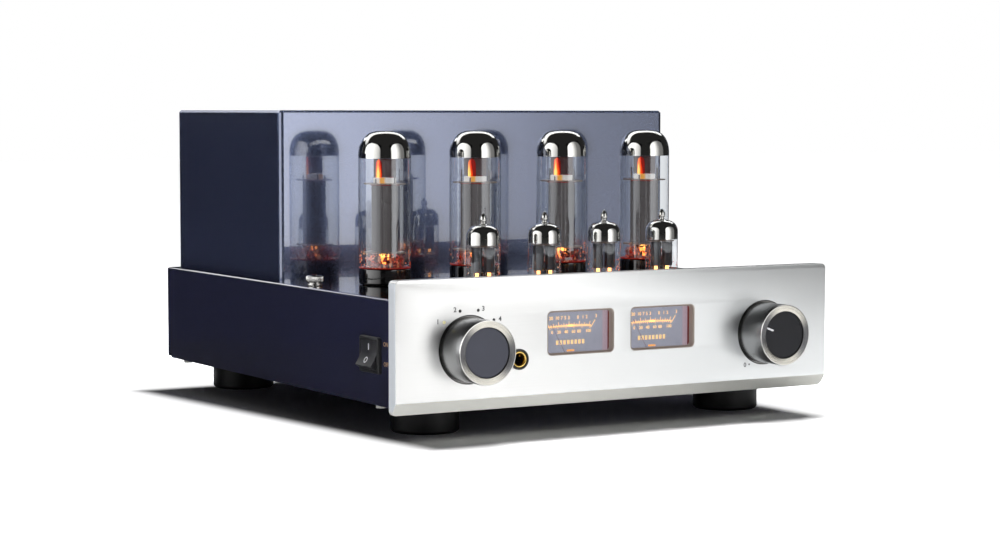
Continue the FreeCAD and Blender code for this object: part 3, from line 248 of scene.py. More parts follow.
def standing(x, y, z, facing="up"):
    # how a shape's u, v, w lie in the model when it stands at x, y, z and faces this way
    turns = {"up": ((1, 0, 0), (0, 1, 0), (0, 0, 1)), "front": ((1, 0, 0), (0, 0, 1), (0, -1, 0)),
             "rear": ((-1, 0, 0), (0, 0, 1), (0, 1, 0)), "left": ((0, -1, 0), (0, 0, 1), (-1, 0, 0))}
    return np.array([x, y, z], float), np.array(turns[facing], float)


def joined(patches):
    points, faces, start = [], [], 0
    for some, theirs in patches:
        points.append(np.asarray(some, float))
        faces.extend([[k + start for k in face] for face in theirs])
        start += len(some)
    return np.concatenate(points), faces


def addPiece(name, patches, finish, body, at, stands=(), sharp=35):
    points, faces = joined(patches)
    origin, turn = at
    mesh = bpy.data.meshes.new(name)
    mesh.from_pydata(((points @ turn + origin) * mm).tolist(), [], faces)
    work = bmesh.new()
    work.from_mesh(mesh)
    bmesh.ops.remove_doubles(work, verts=work.verts, dist=2e-6)
    bmesh.ops.dissolve_degenerate(work, edges=work.edges, dist=1e-7)
    bmesh.ops.recalc_face_normals(work, faces=work.faces)
    work.to_mesh(mesh)
    work.free()
    mesh.shade_smooth()
    mesh.set_sharp_from_angle(angle=math.radians(sharp))
    mesh.materials.append(finish)
    piece = bpy.data.objects.new(name, mesh)
    scene.collection.objects.link(piece)
    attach(piece, body)
    if stands:
        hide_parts(*stands)
    return piece


def dress(piece, look, partOf):
    # a piece with several finishes: each face takes the one of the part it belongs to
    parts = list(look)
    for part in parts[1:]:
        piece.data.materials.append(look[part])
    for polygon in piece.data.polygons:
        polygon.material_index = parts.index(partOf(polygon.center / mm, polygon.normal))


# Finishes

def paint(red, green, blue):
    # screen colour, 0 to 255, as the linear values that the shader takes
    line = [c / 255 / 12.92 if c <= 10 else ((c / 255 + 0.055) / 1.055) ** 2.4 for c in (red, green, blue)]
    return (*line, 1.0)


def dimmed(colour, share):
    return tuple(c * share for c in colour[:3]) + (1,)


white = (1, 1, 1, 1)
black = (0, 0, 0, 1)


class Wire:
    # a socket in a sum: a + b, 1 - a and the like add Math nodes
    def __init__(self, owner, socket):
        self.owner = owner
        self.socket = socket

    def __add__(self, other):
        return self.owner.maths("ADD", self, other)

    def __radd__(self, other):
        return self.owner.maths("ADD", other, self)

    def __sub__(self, other):
        return self.owner.maths("SUBTRACT", self, other)

    def __rsub__(self, other):
        return self.owner.maths("SUBTRACT", other, self)

    def __mul__(self, other):
        return self.owner.maths("MULTIPLY", self, other)

    def __rmul__(self, other):
        return self.owner.maths("MULTIPLY", other, self)

    def __truediv__(self, other):
        return self.owner.maths("DIVIDE", self, other)

    def __pow__(self, other):
        return self.owner.maths("POWER", self, other)

    def __lt__(self, other):
        return self.owner.maths("LESS_THAN", self, other)

    def __gt__(self, other):
        return self.owner.maths("GREATER_THAN", self, other)


class NodeTree:
    # the nodes of one material or of the world
    def __init__(self, owner):
        owner.use_nodes = True
        self.tree = owner.node_tree
        self.tree.nodes.clear()

    def feed(self, socket, value):
        if isinstance(value, Wire):
            self.tree.links.new(value.socket, socket)
        else:
            socket.default_value = value

    def node(self, kind, settings=None, values=None, out=0):
        node = self.tree.nodes.new("ShaderNode" + kind)
        for key, value in (settings or {}).items():
            if key == "stops":
                ramp = node.color_ramp
                for k, (spot, colour) in enumerate(value):
                    element = ramp.elements[k] if k < 2 else ramp.elements.new(spot)
                    element.position = spot
                    element.color = colour if isinstance(colour, tuple) else (colour, colour, colour, 1)
            else:
                setattr(node, key, value)
        for key, value in (values or {}).items():
            self.feed(node.inputs[key], value)
        return Wire(self, node.outputs[out])

    def maths(self, operation, *terms):
        return self.node("Math", {"operation": operation}, dict(enumerate(terms)))

    def larger(self, first, second):
        return self.maths("MAXIMUM", first, second)

    def size(self, value):
        return self.maths("ABSOLUTE", value)

    def split(self, vector, axes):
        return [self.node("SeparateXYZ", values={0: vector}, out=axis) for axis in axes]

    def fade(self, value, low, high, bottom=0.0, top=1.0):
        # the value's way from low to high, as a smooth step from bottom to top
        return self.node("MapRange", {"interpolation_type": "SMOOTHSTEP"},
                         {"Value": value, "From Min": low, "From Max": high, "To Min": bottom, "To Max": top})

    def seenDirectly(self):
        # 1 for what the camera sees, also through glass
        return self.larger(self.node("LightPath", out="Is Camera Ray"),
                           self.node("LightPath", out="Is Transmission Ray"))

    def seenInMirrors(self):
        return self.node("LightPath", out="Is Glossy Ray")


class Finish(NodeTree):
    # one material being put together; its shader's sockets take numbers, colours or wires
    names = {"colour": "Base Color", "glow": "Emission Color", "glowStrength": "Emission Strength",
             "specular": "Specular IOR Level", "coat": "Coat Weight", "coatRoughness": "Coat Roughness",
             "coatIor": "Coat IOR"}

    def __init__(self, name, **sockets):
        self.material = bpy.data.materials.new(name)
        super().__init__(self.material)
        self.output = self.tree.nodes.new("ShaderNodeOutputMaterial")
        self.shader = self.tree.nodes.new("ShaderNodeBsdfPrincipled")
        self.tree.links.new(self.shader.outputs[0], self.output.inputs[0])
        self.set(**sockets)

    def set(self, **sockets):
        for key, value in sockets.items():
            self.feed(self.shader.inputs[self.names.get(key, key.capitalize())], value)

    def place(self, centre=(0, 0, 0), scale=(1, 1, 1)):
        # object coordinates in millimetres about a centre, stretched by the scale
        spot = self.node("TexCoord", out="Object")
        centred = self.node("VectorMath", {"operation": "SUBTRACT"},
                            {0: spot, 1: tuple(c * mm for c in centre)})
        return self.node("Mapping", {"vector_type": "TEXTURE"},
                         {"Vector": centred, "Scale": tuple(mm / s for s in scale)})

    def noise(self, vector, scale, detail, rough=0.5):
        return self.node("TexNoise", values={"Vector": vector, "Scale": scale, "Detail": detail,
                                             "Roughness": rough})

    def cells(self, vector, scale, out="Color"):
        return self.node("TexVoronoi", {"feature": "F1"}, {"Vector": vector, "Scale": scale}, out)

    def channel(self, colour, k=0):
        return self.node("SeparateColor", values={0: colour}, out=k)

    def ramp(self, stops, value):
        return self.node("ValToRGB", {"stops": stops}, {0: value})

    def blend(self, factor, first, second):
        return self.node("Mix", {"data_type": "RGBA"}, {"Factor": factor, 6: first, 7: second}, out=2)

    def bump(self, height, strength, distance):
        return self.node("Bump", values={"Height": height, "Strength": strength, "Distance": distance})

    def clear(self, tint):
        return self.node("BsdfTransparent", values={"Color": tint})

    def light(self, colour, strength):
        return self.node("Emission", values={"Color": colour, "Strength": strength})

    def over(self, factor, other):
        # a second shader laid over the first where the factor is 1
        last = self.output.inputs[0].links[0].from_socket
        mixed = self.node("MixShader", values={0: factor, 1: Wire(self, last), 2: other})
        self.tree.links.new(mixed.socket, self.output.inputs[0])


def flecked(name, colour, roughness, grain, fleck=0.05, **more):
    # moulded, cast or plated stuff: a fine grain in the colour and the gloss
    f = Finish(name, **more)
    grit = f.noise(f.place(), grain, 3.0)
    cloud = f.noise(f.place(), 0.06, 2.0)
    f.set(colour=f.blend(grit, dimmed(colour, 1 - 3 * fleck), colour),
          roughness=roughness + (cloud - 0.5) * 0.12 + (grit - 0.5) * 0.06,
          normal=f.bump(grit, 0.10, 0.00005))
    return f.material


def glowing(name, colour, glow, strength, roughness=0.4, grain=6.0, fleck=0.02, **more):
    # the same with its own light
    return flecked(name, colour, roughness, grain, fleck, glow=glow, glowStrength=strength, **more)


def steelPaint(name, colour, sheen, roughness, metallic, specular, gloss):
    # metallic paint under lacquer: very fine bright flakes that catch the light one by one
    f = Finish(name, metallic=metallic, coat=1.0, coatRoughness=0.015, specular=specular, coatIor=gloss)
    value = f.channel(f.cells(f.place(), 5.5))
    cloud = f.noise(f.place(), 0.5, 2.0)
    shine = f.fade(value, 0.45, 1.0) * (0.35 + cloud * 0.2)
    f.set(colour=f.blend(shine, colour, sheen), roughness=roughness + value * 0.10)
    return f.material


def brushedPlate(name, litLeftColour, shadedRightColour, roughness, depth):
    # brushed metal: long thin scratches along X; painted light makes the left a little lighter than the right
    f = Finish(name, metallic=1.0)
    stretch = (0.02, 6, 6)
    lines = f.noise(f.place(scale=stretch), 1.0, 4.0, 0.6)
    wide = f.noise(f.place(scale=tuple(s * 0.2 for s in stretch)), 1.0, 2.0)
    (x,) = f.split(f.place(), "X")
    # painted light: lighter at the left, darker towards the right
    colour = f.blend(f.fade(x, -110, 90), litLeftColour, shadedRightColour)
    f.set(colour=f.blend(lines, dimmed(litLeftColour, 0.86), colour), normal=f.bump(lines, depth, 0.00002),
          roughness=roughness + (lines - 0.5) * 0.16 + (wide - 0.5) * 0.06)
    return f.material


def turnedMetal(name, colour, centre, roughness, depth, shaded=None):
    # metal cut on a lathe: fine rings about an axis along Y, and two darker wedges where it is shaded
    rings = 7.0
    lightWedge = 78
    f = Finish(name, metallic=1.0)
    u, v, w = f.split(f.place(centre), "XYZ")
    groove = f.noise(f.node("CombineXYZ", values={0: (u * u + w * w) ** 0.5 * rings, 1: v * rings}), 1.0, 3.0)
    tone = f.blend(groove, dimmed(colour, 0.88), colour)
    if shaded:
        # the cosine of twice the angle from the light wedge's middle
        double = math.radians(2 * lightWedge)
        lobes = ((u * u - w * w) * math.cos(double) + u * w * (2 * math.sin(double))) / (u * u + w * w)
        tone = f.blend(f.fade(lobes, -0.9, 0.7), shaded, tone)
    f.set(colour=tone, roughness=roughness + (groove - 0.5) * 0.14, normal=f.bump(groove, depth, 0.00005))
    return f.material


def clearGlass(name, tint, edge, strength, warm=None):
    # a thin clear wall: it mirrors more towards its rim and darkens there; warm flecks are painted glints:
    # heater light painted into the wall as glowing specks
    f = Finish(name, metallic=1.0, roughness=0.02)
    f.set(colour=f.blend(f.noise(f.place(), 0.09, 2.0), paint(228, 234, 240), paint(250, 252, 255)))
    facing = f.node("LayerWeight", values={"Blend": 0.5}, out="Facing")
    wall = f.node("MixShader", values={0: f.fade(facing, 0.72, 0.97), 1: f.clear(tint), 2: f.clear(edge)})
    f.over(1 - (facing ** 5 * 0.7 + 0.05) * strength, wall)
    # painted glints: glowing specks of heater light in a band of the wall
    if warm:
        low, high, scale = warm
        (z,) = f.split(f.place(), "Z")
        luck = f.channel(f.cells(f.place(), scale))
        zone = f.fade(z, low - 2, low + 2) * f.fade(z, high, low + (high - low) * 0.3)
        near = f.cells(f.place(), scale, "Distance") < 0.30
        spot = near * (luck > 0.62) * zone * f.fade(facing, 0.10, 0.5, 0.1, 1.0)
        hue = f.ramp([(0.45, paint(150, 16, 12)), (0.75, paint(255, 96, 44)), (0.97, paint(255, 214, 180))],
                     luck)
        f.over(spot * 0.8, f.light(hue, 1.0))
    return f.material


def paintedGlowGlass(name, scale, stretch, clear):
    # pressed glass round a heater, with its reflections of the heater painted as glowing cells of black,
    # dark red, pink and orange, some of them clear
    f = Finish(name, roughness=0.06, coat=1.0, coatRoughness=0.03)
    cells = f.cells(f.place(scale=(1, 1, stretch)), scale)
    hue = f.ramp([(0.0, paint(26, 8, 9)), (0.45, paint(88, 14, 16)), (0.68, paint(170, 36, 26)),
                  (0.82, paint(186, 120, 124)), (0.95, paint(250, 180, 140))], f.channel(cells))
    # painted reflection: the cells glow with the heater's light
    f.set(colour=hue, glow=hue, glowStrength=0.42)
    f.over((f.channel(cells, 1) > 1 - clear) * 0.85, f.clear(paint(255, 214, 206)))
    return f.material


# Camera, floor and lights

view = {"place": (-777.24, -1327.61, 191.09), "azimuth": -30.83, "elevation": 4.153, "roll": -0.063,
        "lens": 83.24, "film": 36.0}


def addCamera():
    data = bpy.data.cameras.new("camera")
    data.lens = view["lens"]
    data.sensor_width = view["film"]
    data.clip_start = 0.02
    data.clip_end = 40.0
    camera = bpy.data.objects.new("camera", data)
    scene.collection.objects.link(camera)
    camera.rotation_euler = [math.radians(a) for a in (90 - view["elevation"], view["roll"], view["azimuth"])]
    camera.location = Vector(view["place"]) * mm
    scene.camera = camera


# in metres
studio = {
    "floorSize": 14.0,
    # each softbox: its middle, the point it faces, width, height, radiance, and what it lights: mirrors
    # or dull surfaces
    "boxes": {"right": ((0.62, -1.03, 0.39), (0, 0, 0.39), 1.90, 1.52, 2.5, "mirrors"),
              "left": ((-1.25, -0.11, 0.39), (0, 0, 0.39), 2.10, 1.52, 2.6, "mirrors"),
              "rear": ((0.10, 0.86, 0.98), (0, 0, 0.15), 3.00, 0.44, 3.0, "mirrors"),
              "glint": ((-0.25, 0.86, 0.50), (-0.15, 0, 0.10), 0.22, 0.36, 3.6, "mirrors"),
              "top": ((0.20, 0.14, 1.18), (0, 0, 0), 0.28, 0.28, 58.0, "dull"),
              "key": ((-0.35, -0.59, 1.10), (0, 0, 0), 0.50, 0.50, 0.3, "dull")},
    # how even each box is: places across it from one end to the other, and the share of its radiance there
    "profiles": {"right": [(0.02, 0.0), (0.10, 0.12), (0.34, 0.14), (0.46, 0.36), (0.56, 0.70),
                           (0.68, 1.0), (0.86, 1.0), (0.95, 0.0)],
                 "left": [(0.02, 0.0), (0.12, 0.35), (0.30, 0.60), (0.60, 1.0), (0.90, 1.0), (0.99, 0.0)],
                 "rear": [(0.0, 0.25), (0.25, 0.7), (0.7, 1.0), (0.95, 1.0), (1.0, 0.0)],
                 "glint": [(0.0, 0.0), (0.2, 1.0), (0.8, 1.0), (1.0, 0.0)],
                 "top": [(0.0, 0.8), (0.3, 1.0), (0.7, 1.0), (1.0, 0.8)],
                 "key": [(0.0, 0.8), (0.3, 1.0), (0.7, 1.0), (1.0, 0.8)]},
    "roundTopped": ("right", "left"),
    "room": 0.03,
    # the floor's shaded patch, whose sides set the painted outline of the shadow: for each of its sides, the
    # direction out of it and the side's distance that way
    "standing": [(-0.994, -0.108, 0.157), (0.0, -1.0, 0.188), (1.0, 0.0, 0.126), (0.0, 1.0, 0.140)],
    "whitening": 0.020,
    # a black flag: its middle, the point it faces, width and height; it keeps the case's left side dark
    "flag": ((-0.36, 0.40, 0.09), (-0.147, 0.08, 0.09), 0.62, 0.20),
}


def addStage(name, material, half=0.5):
    # a square that isn't part of the object
    mesh = bpy.data.meshes.new(name)
    mesh.from_pydata([(-half, -half, 0), (half, -half, 0), (half, half, 0), (-half, half, 0)], [],
                     [(0, 1, 2, 3)])
    mesh.materials.append(material)
    stage = bpy.data.objects.new(name, mesh)
    scene.collection.objects.link(stage)
    return stage


def addCard(name, material, middle, target, wide, tall):
    # a rectangle that faces a point and that the camera doesn't see
    card = addStage(name, material)
    card.location = middle
    card.rotation_euler = (Vector(target) - Vector(middle)).to_track_quat("Z", "Y").to_euler()
    card.scale = (wide, tall, 1)
    card.visible_camera = False
    return card


def addFloor():
    # the lamps fall off, so the paper is shown at full white; this painted light starts just outside a given
    # patch under the object and covers any shadow outside it, so the shadow keeps the patch's outline
    f = Finish("floorPaper", colour=paint(248, 248, 248), roughness=0.9, specular=0.0)
    x, y = f.split(f.node("TexCoord", out="Object"), "XY")
    # how far a point of the floor is outside the shaded patch
    away = 0.0
    for outX, outY, reach in studio["standing"]:
        away = f.larger(x * outX + y * outY - reach, away)
    # mirrors see it too: the backdrop's foot behind the object, and the paper in front of the panel
    backdrop = f.fade(y, 0.3, 1.2) * f.fade(f.size(x), 0.9, 0.3)
    paper = f.fade(y, -0.160, -0.178) * f.fade((x * x + y * y) ** 0.5, 1.25, 0.9) * \
        f.fade(x, -0.50, -0.40) * 0.90
    seen = f.larger(f.seenDirectly(), f.seenInMirrors() * f.larger(backdrop, paper))
    # painted light: full white from just outside the shaded patch
    f.set(glow=white, glowStrength=seen * f.fade(away, 0.0, studio["whitening"]))
    # a black cloth, seen by mirrors only, lies along the case's left side
    cloth = f.fade(x, -0.17, -0.19) * f.fade(y, -0.20, -0.16) * f.fade(y, 1.2, 0.9)
    f.over(f.seenInMirrors() * cloth * 0.97, f.light(black, 0.0))
    addStage("floor", f.material, studio["floorSize"] / 2)


def addSoftbox(name, middle, target, wide, tall, radiance, lights):
    f = Finish("softboxCloth_" + name, colour=black, specular=0.0)
    x, y = f.split(f.node("TexCoord", out="Object"), "XY")
    share = f.ramp(studio["profiles"][name], x + 0.5) * f.fade(f.size(y), 0.5, 0.40)
    if name in studio["roundTopped"]:
        # the tubes' silvered domes show its rounded upper half
        high = f.larger(y, 0.0)
        share = share * f.fade(((x * x + high * high) ** 0.5) * 2, 1.0, 0.88)
    f.tree.links.new(f.light(white, share * radiance).socket, f.output.inputs[0])
    f.over(f.node("NewGeometry", out="Backfacing"), f.clear(white))
    card = addCard("softbox_" + name, f.material, middle, target, wide, tall)
    card.visible_glossy = lights == "mirrors"
    card.visible_diffuse = lights == "dull"


def addFlag():
    f = Finish("flagCloth", colour=black, roughness=1.0, specular=0.0, glow=(0.75, 0.8, 1.4, 1),
               glowStrength=0.02)
    flag = addCard("flag", f.material, *studio["flag"])
    flag.visible_diffuse = False
    flag.visible_shadow = False
    flag.visible_transmission = False


def addRoom():
    world = bpy.data.worlds.new("room")
    scene.world = world
    w = NodeTree(world)
    # mirrors see the white backdrop only where it stands, behind the object
    (north,) = w.split(w.node("TexCoord", out="Generated"), "Y")
    seen = w.larger(w.seenDirectly(), w.seenInMirrors() * w.fade(north, 0.93, 0.985))
    level = w.node("MapRange", values={"Value": seen, "To Min": studio["room"], "To Max": 1.0})
    background = w.node("Background", values={"Color": white, "Strength": level})
    output = w.tree.nodes.new("ShaderNodeOutputWorld")
    w.feed(output.inputs[0], background)


addCamera()
addFloor()
for name, settings in studio["boxes"].items():
    addSoftbox(name, *settings)
addFlag()
addRoom()
scene.view_settings.view_transform = "Standard"
print("camera, floor and lights set")


# Finishes of the amplifier

navy = steelPaint("navySteel", paint(52, 54, 94), paint(78, 84, 126), 0.36, 0.1, 0.2, 1.9)
coverNavy = steelPaint("coverNavy", paint(101, 114, 152), paint(145, 157, 190), 0.14, 0.55, 0.4, 2.1)
# the panel's silver, with painted light that is lighter at its left end
silver = brushedPlate("panelSilver", paint(218, 218, 217), paint(203, 207, 209), 0.32, 0.35)
deckBlack = flecked("deckBlack", paint(14, 14, 17), 0.12, 2.0, coat=1.0, coatRoughness=0.02)
rubberBlack = flecked("footBlack", paint(6, 7, 10), 0.40, 6.0, specular=0.22)
plasticBlack = flecked("blackPlastic", paint(34, 34, 36), 0.42, 8.0)
# painted light: the meter cases glow a dull red
meterMaroonPaintedGlow = glowing("meterMaroonPaintedGlow", paint(140, 46, 34), paint(120, 28, 18), 0.34, 0.4, 8.0, 0.05)
bakelite = flecked("tubeBaseBlack", paint(16, 16, 18), 0.22, 3.0)
bright = flecked("brightSteel", paint(205, 204, 202), 0.18, 4.0, 0.02, metallic=1.0)
zinc = flecked("zincSteel", paint(180, 180, 176), 0.38, 5.0, metallic=1.0)
gold = flecked("goldPlate", paint(214, 182, 106), 0.20, 4.0, 0.02, metallic=1.0)
whiteCeramic = flecked("socketCeramic", paint(226, 220, 206), 0.35, 5.0, 0.03)
boardGreen = flecked("boardGreen", paint(34, 92, 58), 0.35, 1.0, 0.08)
coreSteel = flecked("coreSteel", paint(62, 62, 64), 0.4, 3.0, 0.08, metallic=0.6)
coilWrap = flecked("coilWrap", paint(170, 120, 56), 0.35, 2.0, 0.06)
# painted light: the needles glow a pale grey
needleGreyPaintedGlow = glowing("needleRed", paint(136, 120, 128), paint(136, 124, 136), 0.6, 0.4, 3.0, 0.05)
paneClear = clearGlass("paneClear", paint(240, 242, 245), paint(190, 195, 200), 0.5)
powerClear = clearGlass("powerGlass", paint(246, 248, 250), paint(50, 56, 64), 2.0, (93, 112, 0.42))
smallClear = clearGlass("smallGlass", paint(246, 248, 250), paint(50, 56, 64), 2.2, (87, 106, 0.55))


def panelEdgeWithPaintedReflection(name, colour, glow):
    # painted reflection: the cut edges glow with the white paper they look down at, less so at the right
    f = Finish(name, metallic=0.35, roughness=0.42)
    lines = f.noise(f.place(scale=(0.03, 5, 5)), 1.0, 4.0, 0.6)
    (x,) = f.split(f.place(), "X")
    # painted reflection: full at the left, fading towards the right
    along = f.fade(x, -60.0, 150.0, 1.0, 0.18)
    f.set(colour=f.blend(lines, dimmed(colour, 0.9), colour), normal=f.bump(lines, 0.2, 0.00003),
          glow=f.blend(along, black, glow), glowStrength=1.32)
    return f.material


def meterDialFinish():
    # lit plate: grey-blue, a little cloudy, rosier at its right end
    f = Finish("dialGrey", roughness=0.6, specular=0.1)
    cloud = f.noise(f.place(), 0.18, 3.0)
    fine = f.noise(f.place(), 1.3, 2.0)
    (x,) = f.split(f.place((29.7, 0, 0)), "X")
    side = f.fade(f.maths("WRAP", x, 29.7, -29.7), 22.4, 23.4)
    tone = f.blend(cloud, paint(136, 143, 152), paint(164, 167, 174))
    mottled = f.blend(fine * 0.45, tone, paint(176, 160, 178))
    lit = f.blend(side * 0.7, mottled, paint(186, 156, 162))
    f.set(colour=lit, glow=lit, glowStrength=0.88)
    return f.material


def tubeCentred(f):
    # object coordinates of the four power tubes folded onto one tube's own axis
    x, y, z = f.split(f.place((-98.1, -49.2, 0)), "XYZ")
    return f.maths("WRAP", x, 32.7, -32.7), y, z


def paintedGlowFinish():
    # painted light beside the shield: yellow at the foot, orange in the middle, red towards the tip and
    # the sides
    f = Finish("shieldPaintedGlow", roughness=0.5, specular=0.1)
    x, y, z = tubeCentred(f)
    flicker = (f.noise(f.place(scale=(1, 1, 0.15)), 2.4, 2.0) - 0.5) * 0.6
    heat = 1.02 - f.fade(z, 150.2, 161.5) * 0.45 - f.size(x * 0.86 - y * 0.51 + 4.0) * 0.34 + flicker
    hue = f.ramp([(0.0, paint(120, 20, 14)), (0.35, paint(226, 52, 18)), (0.6, paint(255, 120, 24)),
                  (0.95, paint(255, 226, 110))], heat)
    f.set(colour=hue, glow=hue, glowStrength=1.3)
    return f.material


def collarPaintedGlowFinish():
    # white mica strip with painted light: all of it glows, yellow and orange where the cathode comes through
    f = Finish("collarWhitePaintedGlow", roughness=0.3)
    x, y, _ = tubeCentred(f)
    grit = f.noise(f.place(), 5.0, 2.0)
    near = f.fade(f.size(x * 0.87 - y * 0.5 + 1.5), 2.6, 0.8)
    tone = f.blend(near, paint(236, 234, 230), paint(255, 190, 90))
    f.set(colour=f.blend(grit * 0.2, tone, paint(200, 190, 180)), glow=tone, glowStrength=0.55)
    return f.material


finishOf = {
    "bottom_plate": navy, "case_screws": zinc, "chassis_shell": navy, "driver_tube_sockets": whiteCeramic,
    "feet": rubberBlack, "front_panel": silver, "headphone_jack": gold, "input_jacks": gold,
    "main_board": boardGreen, "mains_inlet": plasticBlack, "meter_cases": meterMaroonPaintedGlow,
    "meter_dials": meterDialFinish(), "meter_windows": paneClear, "meter_needle_left": needleGreyPaintedGlow,
    "meter_needle_right": needleGreyPaintedGlow, "power_rocker": plasticBlack, "power_switch_housing": plasticBlack,
    "power_tube_sockets": whiteCeramic, "selector_shaft": bright, "volume_shaft": bright,
    "selector_switch": zinc, "volume_control": zinc, "source_lamps": plasticBlack, "speaker_posts": gold,
    "thumbscrew": bright, "top_plate": deckBlack, "transformer_coils": coilWrap,
    "transformer_cores": coreSteel, "transformer_cover": coverNavy,
    "selector_inlay": flecked("inlayGrey", paint(74, 76, 90), 0.30, 3.0, 0.04, metallic=0.3),
    "volume_inlay": flecked("inlayNavy", paint(14, 16, 27), 0.30, 3.0, 0.04, specular=0.3),
}
# the nodes that come in rows, by a word in their names
finishOfKind = {"knob": bright, "cap": gold, "base": bakelite, "glass": powerClear, "electrodes": coreSteel}

for name, node in nodes.items():
    finish = finishOf.get(name) or next((some for word, some in finishOfKind.items() if word in name),
                                        coreSteel)
    node.data.materials.clear()
    node.data.materials.append(finish)
print("solids dressed")


# Panel

panel = {"width": 311.5, "low": 16.35, "height": 78.1, "thick": 8.3, "front": -170.0, "corner": 3.0,
         "bevelUp": 7.15, "bevelIn": 4.7, "bevelSteps": (2.6, 1.8, 1.1, 0.6, 0.25, 0.0), "edge": 0.3,
         "knobX": 107.0, "knobZ": 52.7, "recess": 19.8, "recessDeep": 1.0, "recessEdge": 0.55,
         "windowX": 29.7, "windowZ": 59.5, "windowWide": 47.6, "windowTall": 26.8, "windowCorner": 3.2,
         "windowEdge": 1.15, "lip": 4.1, "seatWide": 56.4, "seatTall": 44.6, "seatZ": 55.0, "seatCorner": 0.5,
         "markerCircle": 23.6, "markerTurns": (135, 105, 75, 45), "markerHole": 1.0, "jackX": -73.2,
         "jackZ": 45.3, "jackHole": 5.1, "bush": 5.0, "paintedShadeTopFrom": 20.0}
panelLook = {
    "face": silver, "rim": bright,
    # painted shade: the floor of each knob's recess is a darker grey metal
    "recess": flecked("recessPaintedShade", paint(120, 119, 117), 0.25, 5.0, 0.04, metallic=1.0),
    # painted light: the windows' lips glow a warm grey
    "lip": glowing("windowLip", paint(158, 148, 140), paint(142, 128, 118), 0.36, 0.4, 5.0, 0.04,
                   metallic=0.2),
    # the bevel and the end take a painted reflection of the paper
    "bevel": panelEdgeWithPaintedReflection("panelBevel", paint(214, 214, 207), paint(150, 150, 146)),
    "end": panelEdgeWithPaintedReflection("panelEnd", paint(208, 211, 214), paint(142, 146, 151)),
    # painted shade: the panel's top edge is darker to the right of a given point
    "top": flecked("panelTopPaintedShade", paint(88, 90, 94), 0.4, 5.0, 0.04, metallic=0.6),
}
onPanel = standing(0, panel["front"], 0, "front")


def markerPlaces():
    return [(-panel["knobX"] + panel["markerCircle"] * math.cos(math.radians(a)),
             panel["knobZ"] + panel["markerCircle"] * math.sin(math.radians(a)))
            for a in panel["markerTurns"]]


